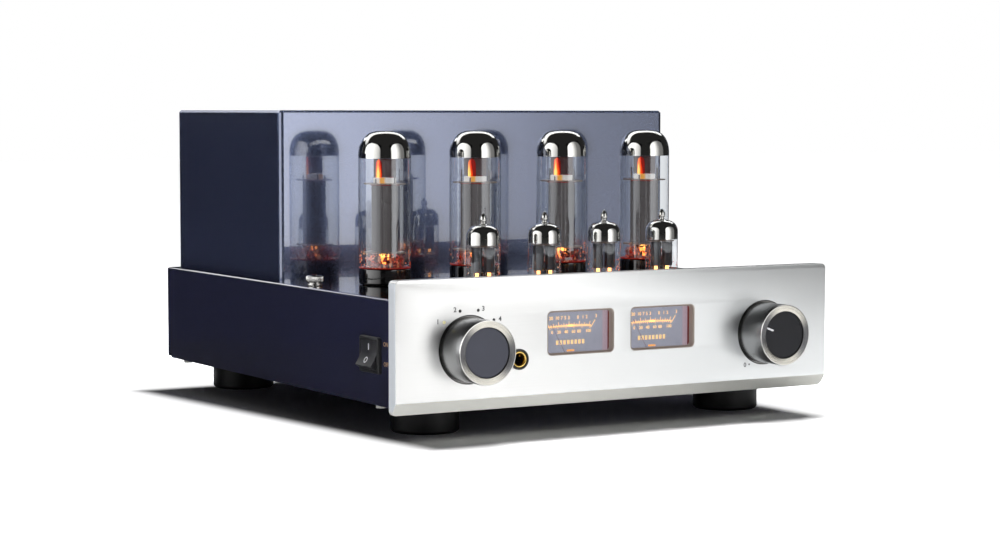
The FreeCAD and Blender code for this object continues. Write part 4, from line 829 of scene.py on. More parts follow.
def addPanel(look):
    p = panel
    windowsAt = (-p["windowX"], p["windowX"])
    knobsAt = (-p["knobX"], p["knobX"])
    back = -p["thick"]

    def outline(inset, level):
        # rounded plate cut off level where the bevel has taken its lower edge away
        r, half = p["corner"], p["width"] / 2
        line = moved(roundedBox(p["width"], p["height"], r, inset, 10), 0, p["low"] + p["height"] / 2)
        below = max(0.0, p["low"] + r - level)
        reach = half - inset - r + (math.sqrt(max(r * r - below * below, 0.0)) if below < r else 0.0)
        gone = line[:, 1] < level + inset
        line[gone] = np.stack([np.sign(line[gone, 0]) * reach, np.full(gone.sum(), level + inset)], 1)
        return line

    def window(x, inset=0.0):
        frame = roundedBox(p["windowWide"], p["windowTall"], p["windowCorner"], inset, 8)
        return moved(frame, x, p["windowZ"])

    def seat(x):
        return moved(roundedBox(p["seatWide"], p["seatTall"], p["seatCorner"], 0, 3), x, p["seatZ"])

    def ring(x, radius):
        return moved(circle(radius, 120), x, p["knobZ"])

    rise = p["bevelUp"] / p["bevelIn"]
    depths = [(p["edge"], 0.0), (p["edge"] * 0.3, p["edge"] * 0.3), (0.0, p["edge"])]
    depths += [(0.0, p["bevelIn"] - up / rise) for up in (p["corner"], *p["bevelSteps"])]
    depths += [(0.0, p["thick"] - p["edge"]), (p["edge"], p["thick"])]
    rows = [lifted(outline(inset, p["low"] + max(0.0, (p["bevelIn"] - deep) * rise)), -deep)
            for inset, deep in depths]
    markers = [moved(circle(p["markerHole"], 20), *spot) for spot in markerPlaces()]
    jack = moved(circle(p["jackHole"], 48), p["jackX"], p["jackZ"])
    openings = [window(x) for x in windowsAt] + [ring(x, p["recess"] + p["recessEdge"]) for x in knobsAt]
    patches = [skin(rows[::-1]), capWithHoles([rows[0][:, :2]] + openings + markers + [jack], 0.0)]
    # the rounded lips of the windows, the straight wall behind them and the step to the meter's seat
    for x in windowsAt:
        lip = [lifted(window(x, p["windowEdge"] * math.sin(a)), -p["windowEdge"] * (1 - math.cos(a)))
               for a in np.linspace(0, np.pi / 2, 7)]
        last = window(x, p["windowEdge"])
        patches += [skin((lip + [lifted(last, -p["lip"])])[::-1]),
                    capWithHoles([seat(x), last], -p["lip"], False),
                    skin([lifted(seat(x), -p["lip"]), lifted(seat(x), back)])]
    for x in knobsAt:
        bush = ring(x, p["bush"])
        patches += [skin([lifted(bush, -p["recessDeep"]), lifted(bush, back)]),
                    capWithHoles([ring(x, p["recess"]), bush], -p["recessDeep"])]
    patches += [skin([lifted(hole, 0), lifted(hole, back)]) for hole in markers + [jack]]
    behind = [seat(x) for x in windowsAt] + [ring(x, p["bush"]) for x in knobsAt]
    patches.append(capWithHoles([rows[-1][:, :2]] + behind + markers + [jack], back, False))
    # the rims of the recesses
    for x in knobsAt:
        patches.append(skin([lifted(ring(x, p["recess"] + p["recessEdge"]), 0),
                             lifted(ring(x, p["recess"]), -p["recessEdge"]),
                             lifted(ring(x, p["recess"]), -p["recessDeep"])]))
    whole = addPiece("frontPlate", patches, look["face"], "case", onPanel,
                     ["front_panel"], 25)

    def partOf(c, normal):
        # worked out from a face's middle and direction
        away = min(math.hypot(c.x - x, c.z - p["knobZ"]) for x in knobsAt)
        if p["recess"] - 0.1 < away < p["recess"] + p["recessEdge"] + 0.05 and abs(normal.y) < 0.95:
            return "rim"
        # the recess floor, which takes the painted shade
        if away < p["recess"] and c.y > p["front"] + 0.5:
            return "recess"
        inWindow = abs(abs(c.x) - p["windowX"]) < p["windowWide"] / 2 and \
            abs(c.z - p["windowZ"]) < p["windowTall"] / 2
        if inWindow and c.y > p["front"] + 0.001:
            return "lip"
        if c.z < p["low"] + p["bevelUp"] and normal.z < -0.2 and c.y < p["front"] + p["thick"] - p["edge"]:
            return "bevel"
        if abs(normal.x) > 0.75 and abs(c.x) > p["width"] / 2 - 0.4:
            return "end"
        # the top edge to the right of that point takes the painted shade
        if normal.z > 0.75 and c.z > p["low"] + p["height"] - 0.5 and c.x > p["paintedShadeTopFrom"]:
            return "top"
        return "face"

    dress(whole, look, partOf)


# Knobs

knob = {"radius": 18.9, "back": -0.6, "front": 21.8, "edge": 0.5, "skirt": (17.6, 18.1, 1.2), "seat": 14.5,
        "seatFloor": 19.2, "faceFrom": 15.0, "inlay": 14.4, "inlayLow": 19.22, "inlayTop": 20.6,
        "pointerTurn": 160.0, "pointer": (8.8, 14.4, 1.0)}
# painted light: the pointer's white print glows
pointerWhitePaintedGlow = glowing("pointerWhitePaintedGlow", paint(240, 240, 240), paint(235, 235, 240), 0.6)


def addKnob(kind, x):
    k = knob
    at = standing(x, panel["front"], panel["knobZ"], "front")
    middle = (x, panel["front"], panel["knobZ"])
    look = {"barrel": turnedMetal(kind + "Barrel", paint(160, 161, 162), middle, 0.22, 1.0),
            "face": turnedMetal(kind + "Face", paint(196, 193, 184), middle, 0.20, 2.5, paint(92, 92, 94)),
            # painted shade: the thin wall of the seat round the inlay takes the black finish
            "edge": bright, "seat": plasticBlack}
    back, front, radius, edge, seat = (k[key] for key in ("back", "front", "radius", "edge", "seat"))
    inner, skirt, tall = k["skirt"]
    barrel = softened([(inner, back), (skirt, back), (skirt, back + tall), (radius, back + tall),
                       (radius, front - edge)], 0.25)
    face = [(radius - edge * 0.35, front - edge * 0.35), (radius - edge, front - 0.12),
            (radius - edge - 0.2, front - 0.1), (seat + 0.35, front - 0.45), (seat + 0.1, front - 0.6),
            (seat, front - 0.9), (seat, k["seatFloor"]), (0, k["seatFloor"])]
    whole = addPiece(kind + "Knob", [lathe([(0, back), *barrel, *face], 144)], look["barrel"], kind,
                     at, [kind + "_knob"], 30)

    def partOf(c, _):
        out = math.hypot(c.x - x, c.z - panel["knobZ"])
        if c.y > panel["front"] - k["faceFrom"] or out > radius - 0.02:
            return "barrel"
        return "seat" if out < seat + 0.28 else "face" if out < radius - edge - 0.1 else "edge"

    dress(whole, look, partOf)
    wide, top = k["inlay"], k["inlayTop"]
    disk = [(0, k["inlayLow"]), (wide, k["inlayLow"]), (wide, top - 0.2), (wide - 0.2, top), (0, top)]
    addPiece(kind + "Inlay", [lathe(disk, 120)], finishOf[kind + "_inlay"], kind, at,
             [kind + "_inlay"], 30)


def addPointer():
    near, far, wide = knob["pointer"]
    line = turned(moved(roundedBox(far - near, wide, 0.3), (near + far) / 2, 0), knob["pointerTurn"])
    addPiece("volumePointer", plate(line, knob["inlayTop"] - 0.1, knob["inlayTop"] + 0.06), pointerWhitePaintedGlow,
             "volume", standing(panel["knobX"], panel["front"], panel["knobZ"], "front"))


# Source markers, and the plain numbers beside them

marker = {"dome": [(0, -0.6), (0.94, -0.6), (0.94, -0.05), (0.75, 0.08), (0.4, 0.15), (0, 0.17)],
          "numberSize": 4.0, "thick": 0.06, "bold": 0.09,
          "numberShifts": ((-4.2, 0.4), (-3.4, 0.8), (3.4, 0.8), (4.2, 0.4)), "zeroTurn": 240,
          "zeroCircle": 22.7, "zeroShift": (-14.6, -20.0), "dot": (0.6, 0.05)}
lampLit = glowing("lampLit", paint(240, 236, 190), paint(250, 240, 180), 0.5, 0.3)
inkGrey = flecked("inkGrey", paint(84, 84, 88), 0.5, 6.0, 0.02)


def addMarkers():
    m = marker
    labels = []
    for k, ((x, z), (du, dv)) in enumerate(zip(markerPlaces(), m["numberShifts"])):
        addPiece("sourceLamp_%d" % (k + 1), [lathe(m["dome"], 20)], plasticBlack if k else lampLit, "case",
                 standing(x, panel["front"], z, "front"))
        labels.append(lettering(str(k + 1), m["numberSize"], m["thick"], x + du, z + dv, m["bold"]))
    a = math.radians(m["zeroTurn"])
    radius, thick = m["dot"]
    labels.append(shifted(lathe([(0, 0), (radius, 0), (radius, thick), (0, thick)], 16),
                          panel["knobX"] + m["zeroCircle"] * math.cos(a),
                          panel["knobZ"] + m["zeroCircle"] * math.sin(a)))
    du, dv = m["zeroShift"]
    labels.append(lettering("0", m["numberSize"], m["thick"], panel["knobX"] + du, panel["knobZ"] + dv,
                            m["bold"]))
    addPiece("panelNumbers", labels, inkGrey, "case", onPanel)


# Headphone jack

jack = {"nut": [(4.95, 0.0), (6.2, 0.0), (6.2, 1.35), (5.3, 1.5), (4.95, 1.2), (4.95, 0.0)],
        "bush": [(3.25, -9.5), (4.9, -9.5), (4.9, 0.7), (4.5, 1.15), (3.8, 0.9), (3.25, -0.2), (3.25, -9.5)],
        "body": 15.0, "bodyBack": -35.9, "bodyFront": -9.9, "bore": 3.25, "boreEnd": -28.8,
        "springTurns": (0.5, 2.6, 4.4), "springLength": 14.0, "springWire": 0.28}


def addJack():
    j = jack
    at = standing(panel["jackX"], panel["front"], panel["jackZ"], "front")
    addPiece("jackNut", [lathe(softened(j["nut"], 0.22), 72)], plasticBlack, "case", at,
             ["headphone_jack"], 40)
    addPiece("jackBush", [lathe(softened(j["bush"], 0.3), 72)], gold, "case", at, (), 40)
    body, hole = roundedBox(j["body"], j["body"], 0.6, 0, 3), circle(j["bore"], 48)
    rows = [lifted(body, j["bodyBack"]), lifted(body, j["bodyFront"])]
    deep = [lifted(hole, j["bodyFront"]), lifted(hole, j["boreEnd"])]
    addPiece("jackBody", [skin(rows), cap(rows[0], False), capWithHoles([body, hole], j["bodyFront"]),
                          skin(deep), cap(deep[1])], plasticBlack, "case", at)
    springs = []
    share = np.linspace(0, 1, 10)
    bowed = 3.2 - 0.7 * np.sin(np.pi * share)
    for turn in j["springTurns"]:
        path = np.stack([bowed * math.cos(turn), bowed * math.sin(turn), -4 - j["springLength"] * share], 1)
        springs += tube(path, j["springWire"], 6)
    addPiece("jackSprings", springs, gold, "case", at)


# Meters. The scale is an arc of small angles about a far centre below it.

meter = {"dialY": -158.4, "line": 62.4, "half": 16.5, "far": 260.0, "thick": 0.12,
         "upperText": (("20", -14.0), ("10", -9.6), ("7", -6.4), ("5", -3.9), ("3", -1.4), ("0", 5.2),
                       ("1", 8.8), ("2", 11.4)), "upperSize": 2.9, "upperShift": 4.7,
         "lowerText": (("0", -13.2), ("20", -8.3), ("40", -3.2), ("60", 2.0), ("80", 6.0), ("100", 12.6)),
         "lowerSize": 2.7, "lowerShift": -3.8, "endText": ("3", 18.2, 5.0),
         "rungs": 8, "rung": (1.6, 2.6), "rungPitch": 2.65, "rungStart": -9.6, "rungZ": 52.4,
         "lamp": (5.3, 1.05), "lampZ": 47.3}
needle = {"pivotZ": 38.0, "turn": 29.0, "low": 0.72, "high": 0.98,
          "blade": [(-0.35, -3.0), (0.35, -3.0), (0.20, 7.0), (0.11, 29.9), (-0.11, 29.9), (-0.20, 7.0)],
          "hub": [(0, -7.4), (0.95, -7.4), (0.95, 0.6), (2.3, 0.65), (2.3, 1.0), (1.9, 1.15), (0, 1.2)]}
scaleAmber = glowing("scaleAmber", paint(255, 206, 134), paint(255, 206, 134), 1.2, 0.5)
meterLampAmber = glowing("meterLampAmber", paint(250, 180, 90), paint(255, 170, 80), 1.2, 0.5)


def scaleBar(angle0, radius0, angle1, radius1, wide):
    # a thin flat strip between two points, each given by its angle and radius about the far centre
    m = meter
    (u0, v0), (u1, v1) = [(r * math.sin(a), r * math.cos(a) - m["far"] + m["line"])
                          for a, r in ((angle0, radius0), (angle1, radius1))]
    across = np.array([v0 - v1, u1 - u0])
    across = across / max(np.linalg.norm(across), 1e-6) * wide / 2
    line = np.array([(u0, v0) - across, (u1, v1) - across, (u1, v1) + across, (u0, v0) + across])
    return plate(line, -0.02, m["thick"])


def dialPrint():
    m = meter
    far, line, thick = m["far"], m["line"], m["thick"]
    span = m["half"] / far
    marks = []
    steps = np.linspace(-span, span * 0.88, 22)
    for a0, a1 in zip(steps, steps[1:]):
        marks += scaleBar(a0, far, a1, far, 0.8)
    marks += scaleBar(-1.9 / far, far, 1.9 / far, far, 1.35)
    for k, a in enumerate(np.linspace(-span * 0.94, span * 0.8, 17)):
        tall = 2.5 if k % 4 == 0 else 1.7 if k % 2 == 0 else 1.1
        marks += scaleBar(a, far + 0.2, a * (1 + 0.02 * tall), far + tall, 0.38)
    for k, a in enumerate(np.linspace(-span * 0.9, span * 0.84, 21)):
        marks += scaleBar(a, far - 0.2, a, far - (1.7 if k % 4 == 0 else 1.1), 0.38)
    marks += scaleBar(span * 0.88, far - 1.2, span * 1.05, far + 3.4, 0.5)
    marks += [lettering(text, m["upperSize"], thick, u, line + m["upperShift"], 0.05)
              for text, u in m["upperText"]]
    text, u, rise = m["endText"]
    marks.append(lettering(text, m["upperSize"], thick, u, line + rise, 0.05))
    marks += [lettering(text, m["lowerSize"], thick, u, line + m["lowerShift"], 0.05)
              for text, u in m["lowerText"]]
    # a plain row of upright bars fills the middle of the dial
    for k in range(m["rungs"]):
        rung = moved(roundedBox(*m["rung"], 0.1, 0, 2), m["rungStart"] + k * m["rungPitch"], m["rungZ"])
        marks += plate(rung, -0.02, thick)
    return marks


def addMeter(side, x):
    at = standing(x, meter["dialY"], 0, "front")
    addPiece("meterScale_" + side, dialPrint(), scaleAmber, "case", at)
    wide, tall = meter["lamp"]
    lamp = slab(lambda inset: moved(roundedBox(wide, tall, 0.3, inset, 2), 0, meter["lampZ"]), -0.7, 0.25)
    addPiece("meterLamp_" + side, lamp, meterLampAmber, "case", at)
    # a thin tapered blade with a hub, leaning to the left where it rests
    blade = moved(turned(np.array(needle["blade"]), needle["turn"]), 0, needle["pivotZ"])
    addPiece("meterNeedle_" + side, plate(blade, needle["low"], needle["high"]), needleGreyPaintedGlow, "needle_" + side,
             at, ["meter_needle_" + side])
    addPiece("meterHub_" + side, [shifted(lathe(needle["hub"], 32), 0, needle["pivotZ"])], plasticBlack,
             "needle_" + side, at)


# Tubes

deck = 82.8
getterMirror = flecked("getterMirror", paint(206, 201, 193), 0.03, 1.0, 0.02, metallic=1.0)
# painted light: the mica plates glow faintly warm
micaWhitePaintedGlow = glowing("micaWhitePaintedGlow", paint(206, 200, 194), paint(255, 200, 170), 0.05, 0.35, 5.0, 0.03)
stemGlass = paintedGlowGlass("stemGlass", 0.62, 0.6, 0.62)


def addTubePart(kind, number, part, patches, at, stands, sharp):
    # a part's name says which finish it takes from its tube's look
    body = "%s_%d" % (kind["body"], number)
    addPiece("%s%s_%d" % (kind["name"], part, number), patches, kind["look"][part], body, at,
             ["%s_%s" % (body, node) for node in stands], sharp)


powerTube = {
    "name": "powerTube", "body": "power_tube", "turns": (-78, -56, -70, -62),
    "places": [(-98.1, -49.2), (-32.7, -49.2), (32.7, -49.2), (98.1, -49.2)],
    "radius": 16.5, "base": 16.3, "baseLow": 0.3, "baseTop": 10.4, "shoulder": 81.0, "top": 96.0,
    "mirrorLow": 78.9, "pins": (8.5, -11.5, 1.1), "spigot": (-13.0, 3.4),
    # a quarter of the anode's outline, its height, and its two ribs
    "anode": [(1.0, 6.2), (4.2, 6.2), (4.8, 5.3), (6.6, 5.3), (7.2, 4.2), (7.2, 1.0), (10.0, 0.8)],
    "anodeSpan": (20.6, 62.4), "ribs": (24.0, 59.0), "ribTall": 0.9,
    "mica": (14.6, 0.7), "micaLevels": (19.7, 62.6), "shield": (12.6, 8.8, 1.2, 67.2, 78.4),
    "collar": (12.4, 9.2, 1.0, 63.6, 66.6), "redGlowSlab": (14.6, 12.6, 1.4, 62.0, 62.5),
    # heights above the base's top
    "stem": [(15.2, 0.05), (13.6, 0.6), (9.6, 2.0), (8.0, 4.6), (8.4, 7.0), (7.2, 8.8)],
    "press": [(12.6, 0.3), (12.0, 3.0), (12.8, 5.2), (11.6, 7.2)],
    "heater": [(0, 1.4), (1.4, 1.7), (1.9, 3.6), (3.0, 5.6), (2.7, 8.4), (0, 9.3)],
    "ring": [(14.4, 0.05), (16.15, 0.05), (16.15, 0.45), (14.4, 0.3)],
    # the painted glow: half width at its foot, where it starts, height, thickness and distance from the axis
    "paintedGlowBlade": (2.65, 66.8, 11.4, 0.35, 4.6),
    "look": {
        "Base": flecked("tubeBaseGloss", paint(15, 15, 17), 0.14, 3.0, coat=1.0, coatRoughness=0.03),
        "Glass": powerClear, "Mirror": getterMirror, "Mica": micaWhitePaintedGlow, "Stem": stemGlass, "Leads": bright,
        # painted light: the anode glows a little, so that its face looks lit
        "Anode": glowing("anodeGreyPaintedGlow", paint(104, 101, 101), paint(122, 116, 116), 0.25, 0.42, 6.0, 0.05,
                         metallic=0.4),
        # painted light: the shield glows faintly red
        "Shield": glowing("shieldGreyPaintedGlow", paint(92, 88, 90), paint(190, 60, 30), 0.04, 0.40, 6.0, 0.05,
                          metallic=0.4),
        "Collar": collarPaintedGlowFinish(),
        "Press": paintedGlowGlass("pressGlass", 0.50, 0.7, 0.70),
        "Heater": glowing("heaterGlow", paint(255, 190, 110), paint(255, 186, 96), 5.0, 0.4, 3.0, 0.04),
        # painted light beside the shield
        "Glow": paintedGlowFinish(),
        # painted light: a red ring at the glass's foot and a thin red slab under the upper mica glow
        "PaintedRedGlow": glowing("redPaintedGlow", paint(120, 22, 14), paint(176, 30, 16), 0.38, 0.4, 3.0, 0.04),
    },
}


def paintedGlowBlades(t):
    # painted light: one glowing blade on each side of the shield, narrowing towards its tip
    half, foot, tall, thick, away = t["paintedGlowBlade"]
    share = np.linspace(0, 1, 9)
    side = np.stack([(half - 0.15) * (1 - share ** 6) ** 0.5 + 0.15, foot + tall * share], 1)
    blade = np.vstack([side, side[::-1] * (-1, 1)])
    glowBlades = []
    for facing, y in (("front", -away), ("rear", away)):
        points, faces = joined(plate(blade, 0.0, thick))
        glowBlades.append((points @ standing(0, 0, 0, facing)[1] + np.array([0, y, 0]), faces))
    return glowBlades


def micaPlates(t):
    # oval plates with notched rims
    def notches(a, profile):
        return 1 - 0.05 * (np.abs(np.cos(a * 6)) > 0.86)[None, :] * np.ones(len(profile))[:, None]

    radius, thick = t["mica"]
    plates = []
    for level in t["micaLevels"]:
        rim = [(0, level), (radius, level), (radius, level + thick), (0, level + thick)]
        points, faces = lathe(rim, 96, 0, notches)
        plates.append((points * (1, 0.82, 1), faces))
    return plates


def addPowerTube(number, x, y, turn):
    t = powerTube
    at = standing(x, y, deck)
    c, s = math.cos(math.radians(turn)), math.sin(math.radians(turn))
    inner = (at[0], np.array([(c, s, 0), (-s, c, 0), (0, 0, 1)]))
    base, low, high = t["base"], t["baseLow"], t["baseTop"]

    def add(part, patches, slot, at=inner, stands=(), sharp=40):
        addTubePart(t, number, part, patches, at, stands, sharp)

    profile = softened([(0, low), (base - 0.5, low), (base, low + 0.9), (base, high - 0.7),
                        (base - 0.6, high), (0, high)], 0.35)
    pinCircle, pinLow, pinRadius = t["pins"]
    spigotLow, spigotRadius = t["spigot"]
    pins = rodRing(8, pinCircle, pinLow, low + 0.1, pinRadius, math.pi / 8)
    add("Base", [lathe(profile, 120), rod(0, 0, spigotLow, low + 0.1, spigotRadius, 24)] + pins, "tube_black",
        at, ["base"], 35)
    glass = [(base - 1.8, high + 0.02)] + domed(t["radius"], high + 0.9, t["shoulder"], t["top"])
    add("Glass", [lathe(glass, 96)], "tube_glass", at, ["glass"], 60)
    mirror = domed(t["radius"] - 0.35, t["mirrorLow"], t["shoulder"], t["top"] - 0.4)
    add("Mirror", [lathe(mirror, 96)], "tube_grey", at, (), 60)
    # anode, mica plates, rods and the box shield above them
    metal = plate(mirroredQuarter(t["anode"]), *t["anodeSpan"])
    for level in t["ribs"]:
        metal += plate(mirroredQuarter(np.array(t["anode"]) * (1.0, 1.03)), level, level + t["ribTall"])
    metal += [rod(u, 0, 15.0, 71.0, 0.55) for u in (-9.6, 9.6)]
    metal += [rod(0, v, 18.0, 66.0, 0.5) for v in (-7.3, 7.3)]
    add("Anode", metal, "tube_grey", inner, ["electrodes"], 25)
    add("Mica", micaPlates(t), "ceramic", inner, (), 25)
    add("Shield", box(*t["shield"]), "tube_grey", inner, (), 30)
    add("Collar", box(*t["collar"]), "ceramic", inner, (), 30)
    # the stem: a flared glass foot drawn up to a press, with lead wires, round the glowing heater
    # the stem and the press take painted reflections of the heater's glow
    add("Stem", [lathe(raised(t["stem"], high), 15)], "tube_glass", at, (), 5)
    add("Press", [lathe(raised(t["press"], high), 11, 0.2)], "tube_glass", at, (), 5)
    leads = [rod(u, v, high + 1, t["anodeSpan"][0], 0.4, 8) for u in (-6.5, -3.6, 3.6, 6.5)
             for v in (-1.6, 1.6)]
    add("Leads", leads, "tube_grey")
    add("Heater", [lathe(softened(raised(t["heater"], high), 0.8), 24)], "tube_grey", at)
    # painted light: glowing blades beside the shield
    add("Glow", paintedGlowBlades(t), "tube_grey")
    # painted light: the glowing red ring and slab
    add("PaintedRedGlow", [lathe(raised(t["ring"], high), 90)] + box(*t["redGlowSlab"]), "tube_grey")


smallTube = {
    "name": "smallTube", "body": "driver_tube", "places": [(-66, -116), (-22, -116), (22, -116), (66, -116)],
    "radius": 10.35, "low": 0.3, "shoulder": 34.0, "top": 39.4, "tip": 46.7, "tipRoot": 2.6,
    "mirrorLow": 27.4,
    # the tip's outline: shares of its root's radius, and heights above the dome
    "tipLine": ((0.85, 0.3), (0.66, 1.2), (0.92, 2.6), (0.90, 4.2)),
    "anode": [(2.9, 0), (2.9, 1.7), (2.1, 2.6), (0.6, 3.6), (-0.6, 3.6), (-2.1, 2.6), (-2.9, 1.7)],
    "anodesAt": (-4.3, 4.3), "anodeSpan": (10.2, 25.4), "bands": (12.0, 22.6), "bandTall": 0.7,
    "mica": (8.0, 0.4), "micaLevels": (6.2, 25.9), "pins": (6.2, -6.5, 0.5),
    "button": [(9.2, 0.4), (9.2, 2.2), (7.4, 2.6), (6.6, 1.8), (0, 1.8)], "heaters": (7.6, 10.0, 1.1),
    "look": {
        "Glass": smallClear, "Mirror": getterMirror, "Mica": micaWhitePaintedGlow, "Pins": bright, "Button": stemGlass,
        "Anodes": flecked("smallAnodeGrey", paint(128, 129, 132), 0.36, 6.0, metallic=0.7),
        "Heaters": glowing("smallHeaterGlow", paint(255, 190, 120), paint(255, 176, 104), 4.0,
                           0.4, 3.0, 0.04),
    },
}


def addSmallTube(number, x, y):
    t = smallTube
    at = standing(x, y, deck)
    radius, low, top, root = t["radius"], t["low"], t["top"], t["tipRoot"]

    def add(part, patches, slot, stands=(), sharp=40):
        addTubePart(t, number, part, patches, at, stands, sharp)

    dome = [p for p in domed(radius, low + 1.4, t["shoulder"] - 2.5, top, 12, 0.75) if p[0] > root + 0.6]
    tip = softened([dome[-1], *((root * share, top + rise) for share, rise in t["tipLine"]),
                    (root * 0.62, t["tip"] - 1.4), (0.8, t["tip"] - 0.3), (0, t["tip"])], 0.9)
    foot = [(0, low), (radius - 1.6, low), (radius - 0.4, low + 0.5)]
    add("Glass", [lathe([*foot, *dome, *tip[1:]], 80)], "tube_glass", ["glass"], 50)
    # the silver follows the inside of the glass
    upper = [(radius, t["mirrorLow"])] + [p for p in dome if p[1] > t["mirrorLow"] + 0.5] + list(tip[1:-1])
    inside = [(max(r - 0.3, 0.05), h - 0.25) for r, h in upper] + [(0, t["tip"] - 0.5)]
    add("Mirror", [lathe(inside, 80)], "tube_grey", (), 50)
    half = np.array(t["anode"])
    anode = np.vstack([half, -half])
    metal = []
    for u in t["anodesAt"]:
        metal += plate(moved(anode, u, 0), *t["anodeSpan"])
        for level in t["bands"]:
            metal += plate(moved(anode * 1.07, u, 0), level, level + t["bandTall"])
        metal += [rod(u, v, 4.0, 27.6, 0.3, 8) for v in (-4.2, 4.2)]
    add("Anodes", metal, "tube_grey", ["electrodes"], 25)
    wide, thick = t["mica"]
    add("Mica", [lathe([(0, z), (wide, z), (wide, z + thick), (0, z + thick)], 60) for z in t["micaLevels"]],
        "ceramic", (), 25)
    # nine pins at tenths of a circle
    pinCircle, pinLow, pinRadius = t["pins"]
    add("Pins", rodRing(9, pinCircle, pinLow, low + 3.4, pinRadius, 0.3, 10, 8), "zinc_steel")
    add("Button", [lathe([(0, low + 0.1), *t["button"]], 48)], "tube_glass")
    add("Heaters", [rod(u, 0, *t["heaters"], 16) for u in t["anodesAt"]], "tube_grey")


# Feet and thumbscrew

foot = {"places": [(-111, -123.8), (111, -123.8), (-111, 136.3), (111, 136.3)], "radius": 20.7,
        "height": 19.5, "chamfer": 1.5, "well": 6.5, "wellDeep": 10.0, "hole": 4.4}


def addFeet():
    f = foot
    wide, tall, well = f["radius"], f["height"], f["well"]
    profile = softened([(well, 0), (wide - f["chamfer"], 0), (wide, f["chamfer"]), (wide, tall - 0.6),
                        (wide - 0.6, tall), (f["hole"], tall), (f["hole"], f["wellDeep"]),
                        (well, f["wellDeep"]), (well, 0)], 0.5)
    addPiece("rubberFeet", [shifted(lathe(profile, 96), x, y) for x, y in f["places"]], rubberBlack, "case",
             standing(0, 0, 0), ["feet"], 40)


thumb = {"place": (-141.8, -38.6), "washer": (5.1, 0.3, 1.3), "waist": 4.4, "head": (5.5, 2.2, 6.5),
         "ribs": 44, "ribDeep": 0.045, "shank": (-5.5, 1.9)}


def addThumbscrew():
    t = thumb
    wide, low, high = t["head"]
    washer, washerLow, washerHigh = t["washer"]
    neck = lathe(softened([(0, washerLow), (washer, washerLow), (washer, washerHigh),
                           (t["waist"], washerHigh), (t["waist"], low), (wide - 0.9, low)], 0.2), 96)

    def ribs(a, profile):
        # the rim rises and falls once for each rib, only where the profile is widest
        depth = np.where(profile[:, 0] > wide - 0.2, t["ribDeep"], 0.0)[:, None]
        return 1 - depth * (0.5 + 0.5 * np.cos(a * t["ribs"]))[None, :]

    rim = [(wide - 0.9, low), (wide - 0.1, low + 0.35), (wide, low + 0.6), (wide, high - 0.9),
           (wide - 0.1, high - 0.7), (wide - 0.9, high - 0.25), (wide - 1.3, high)]
    head = lathe([*rim, (1.6, high), (1.3, high - 0.3), (0, high - 0.3)], t["ribs"] * 8, 0, ribs)
    shankLow, shankRadius = t["shank"]
    addPiece("coverThumbscrew", [neck, head, rod(0, 0, shankLow, washerLow, shankRadius, 24)], bright,
             "thumbscrew", standing(*t["place"], deck), ["thumbscrew"], 40)


# Power switch

switch = {"place": (-152.7, -135.65, 49.3), "wide": 23.9, "tall": 21.4, "bezel": 2.6, "housing": (20.9, 18.4),
          "housingBack": -20.0, "housingFront": -9.0, "rockerWide": 19.4, "halfTall": 7.6, "rise": 3.1,
          "tilt": 14.0, "back": 4.5, "pivot": -0.5, "hollow": 0.25, "markAt": 0.52, "endShrink": 0.965,
          "words": (("on", "ON", -152.6, 56.4), ("off", "OFF", -153.4, 44.8)), "wordSize": 3.6}
switchAt = standing(*switch["place"], "left")
bezelBlack = flecked("bezelBlack", paint(44, 45, 48), 0.4, 8.0)
rockerBlack = flecked("rockerBlack", paint(74, 75, 80), 0.38, 8.0)
# painted light: the rocker's marks and the words beside the switch glow
markWhitePaintedGlow = glowing("markWhitePaintedGlow", paint(225, 225, 228), paint(220, 220, 225), 0.4)
wordGoldPaintedGlow = glowing("wordGoldPaintedGlow", paint(172, 142, 118), paint(172, 138, 112), 0.4)


def addSwitch():
    s = switch

    def outer(inset):
        return roundedBox(s["wide"], s["tall"], 1.6, inset, 5)

    def hole(inset):
        return roundedBox(s["rockerWide"] + 0.7, 2 * s["halfTall"] + 1.4, 0.8, inset, 3)

    bezel, deep = s["bezel"], s["housingFront"]
    rows = [lifted(outer(0), 0), lifted(outer(0), bezel - 0.9), lifted(outer(0.35), bezel - 0.25),
            lifted(outer(0.9), bezel)]
    well = [lifted(hole(0), deep), lifted(hole(0), bezel - 0.3), lifted(hole(-0.3), bezel)]
    neck = [lifted(roundedBox(*s["housing"], 0.8, 0, 5), deep), lifted(outer(0), 0)]
    rim = capWithHoles([rows[-1][:, :2], well[-1][:, :2]], bezel)
    addPiece("switchBezel", [skin(rows), rim, skin(well[::-1]), skin(neck)] +
             box(*s["housing"], 0.8, s["housingBack"], deep), bezelBlack, "case", switchAt,
             ["power_switch_housing"])


def tipped(points, degrees):
    # turned about u, with the upper half away from the face for a positive angle
    c, s = math.cos(math.radians(degrees)), math.sin(math.radians(degrees))
    return points @ np.array([(1, 0, 0), (0, c, -s), (0, s, c)])


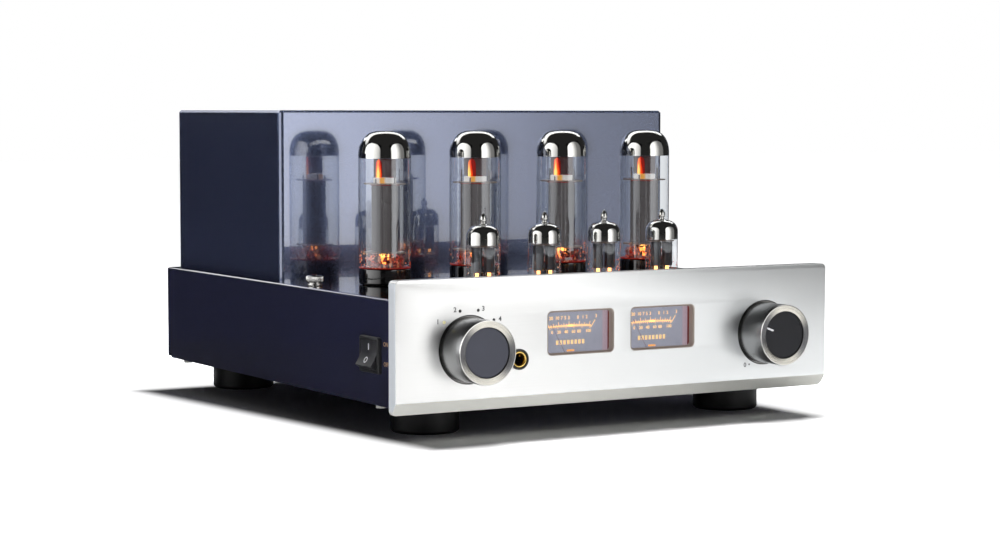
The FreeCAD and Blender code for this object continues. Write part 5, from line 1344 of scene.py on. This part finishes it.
def rockerMarks():
    # a bar on the upper face and a ring on the lower one, each lying on its sloping face
    s = switch
    spot = s["markAt"] * s["halfTall"]
    slope = math.tan(math.radians(s["tilt"]))
    lift = s["rise"] + spot * slope - s["hollow"] * math.sin(math.pi * s["markAt"]) + 0.06
    bar = plate(roundedBox(0.9, 3.8, 0.2, 0, 2), -0.1, 0.06)
    ring = [lathe([(1.25, -0.1), (1.95, -0.1), (1.95, 0.06), (1.25, 0.06), (1.25, -0.1)], 40)]
    marks = []
    for patches, up in ((bar, 1), (ring, -1)):
        points, faces = joined(patches)
        marks.append((tipped(points, -s["tilt"] * up) + np.array([0, up * spot, lift]), faces))
    return marks


def addRocker():
    # drawn upright, then tipped: the upper half is pressed in; its two faces are slightly hollow
    s = switch
    slope, halfTall, half = math.tan(math.radians(s["tilt"])), s["halfTall"], s["rockerWide"] / 2
    end = s["rise"] + halfTall * slope
    face = [(v, s["rise"] + v * slope - s["hollow"] * math.sin(math.pi * v / halfTall))
            for v in np.linspace(0, halfTall, 9)]
    reach, first = math.hypot(halfTall, end), math.atan2(end, halfTall)
    side = [(reach * math.cos(a), reach * math.sin(a)) for a in np.linspace(first - 0.03, 0.0, 5)]
    right = face + side + [(halfTall * 0.45, -s["back"])]
    line = np.array(right + [(-v, w) for v, w in right[:0:-1]])[::-1]
    rows = [np.column_stack([np.full(len(line), u), line * size]) for u, size in
            ((-half, s["endShrink"]), (0.25 - half, 1.0), (half - 0.25, 1.0), (half, s["endShrink"]))]
    for name, patches, finish, stands in (("rockerCap", capped(rows), rockerBlack, ["power_rocker"]),
                                          ("rockerMarks", rockerMarks(), markWhitePaintedGlow, ())):
        points, faces = joined(patches)
        points = tipped(points, s["tilt"]) + np.array([0, 0, s["pivot"]])
        addPiece(name, [(points, faces)], finish, "rocker", switchAt, stands, 25)


def addSwitchWords():
    for name, text, y, z in switch["words"]:
        addPiece("switchWord_" + name, [lettering(text, switch["wordSize"], 0.06, 0, 0, 0.04)], wordGoldPaintedGlow,
                 "case", standing(switch["place"][0], y, z, "left"))


# Putting the pieces in

addPanel(panelLook)
addKnob("selector", -panel["knobX"])
addKnob("volume", panel["knobX"])
addPointer()
addMarkers()
addJack()
print("panel and controls made")
addMeter("left", -panel["windowX"])
addMeter("right", panel["windowX"])
print("meters made")
for k, (place, turn) in enumerate(zip(powerTube["places"], powerTube["turns"])):
    addPowerTube(k + 1, *place, turn)
for k, place in enumerate(smallTube["places"]):
    addSmallTube(k + 1, *place)
print("tubes made")
addFeet()
addThumbscrew()
addSwitch()
addRocker()
addSwitchWords()
print("feet, thumbscrew and switch made")
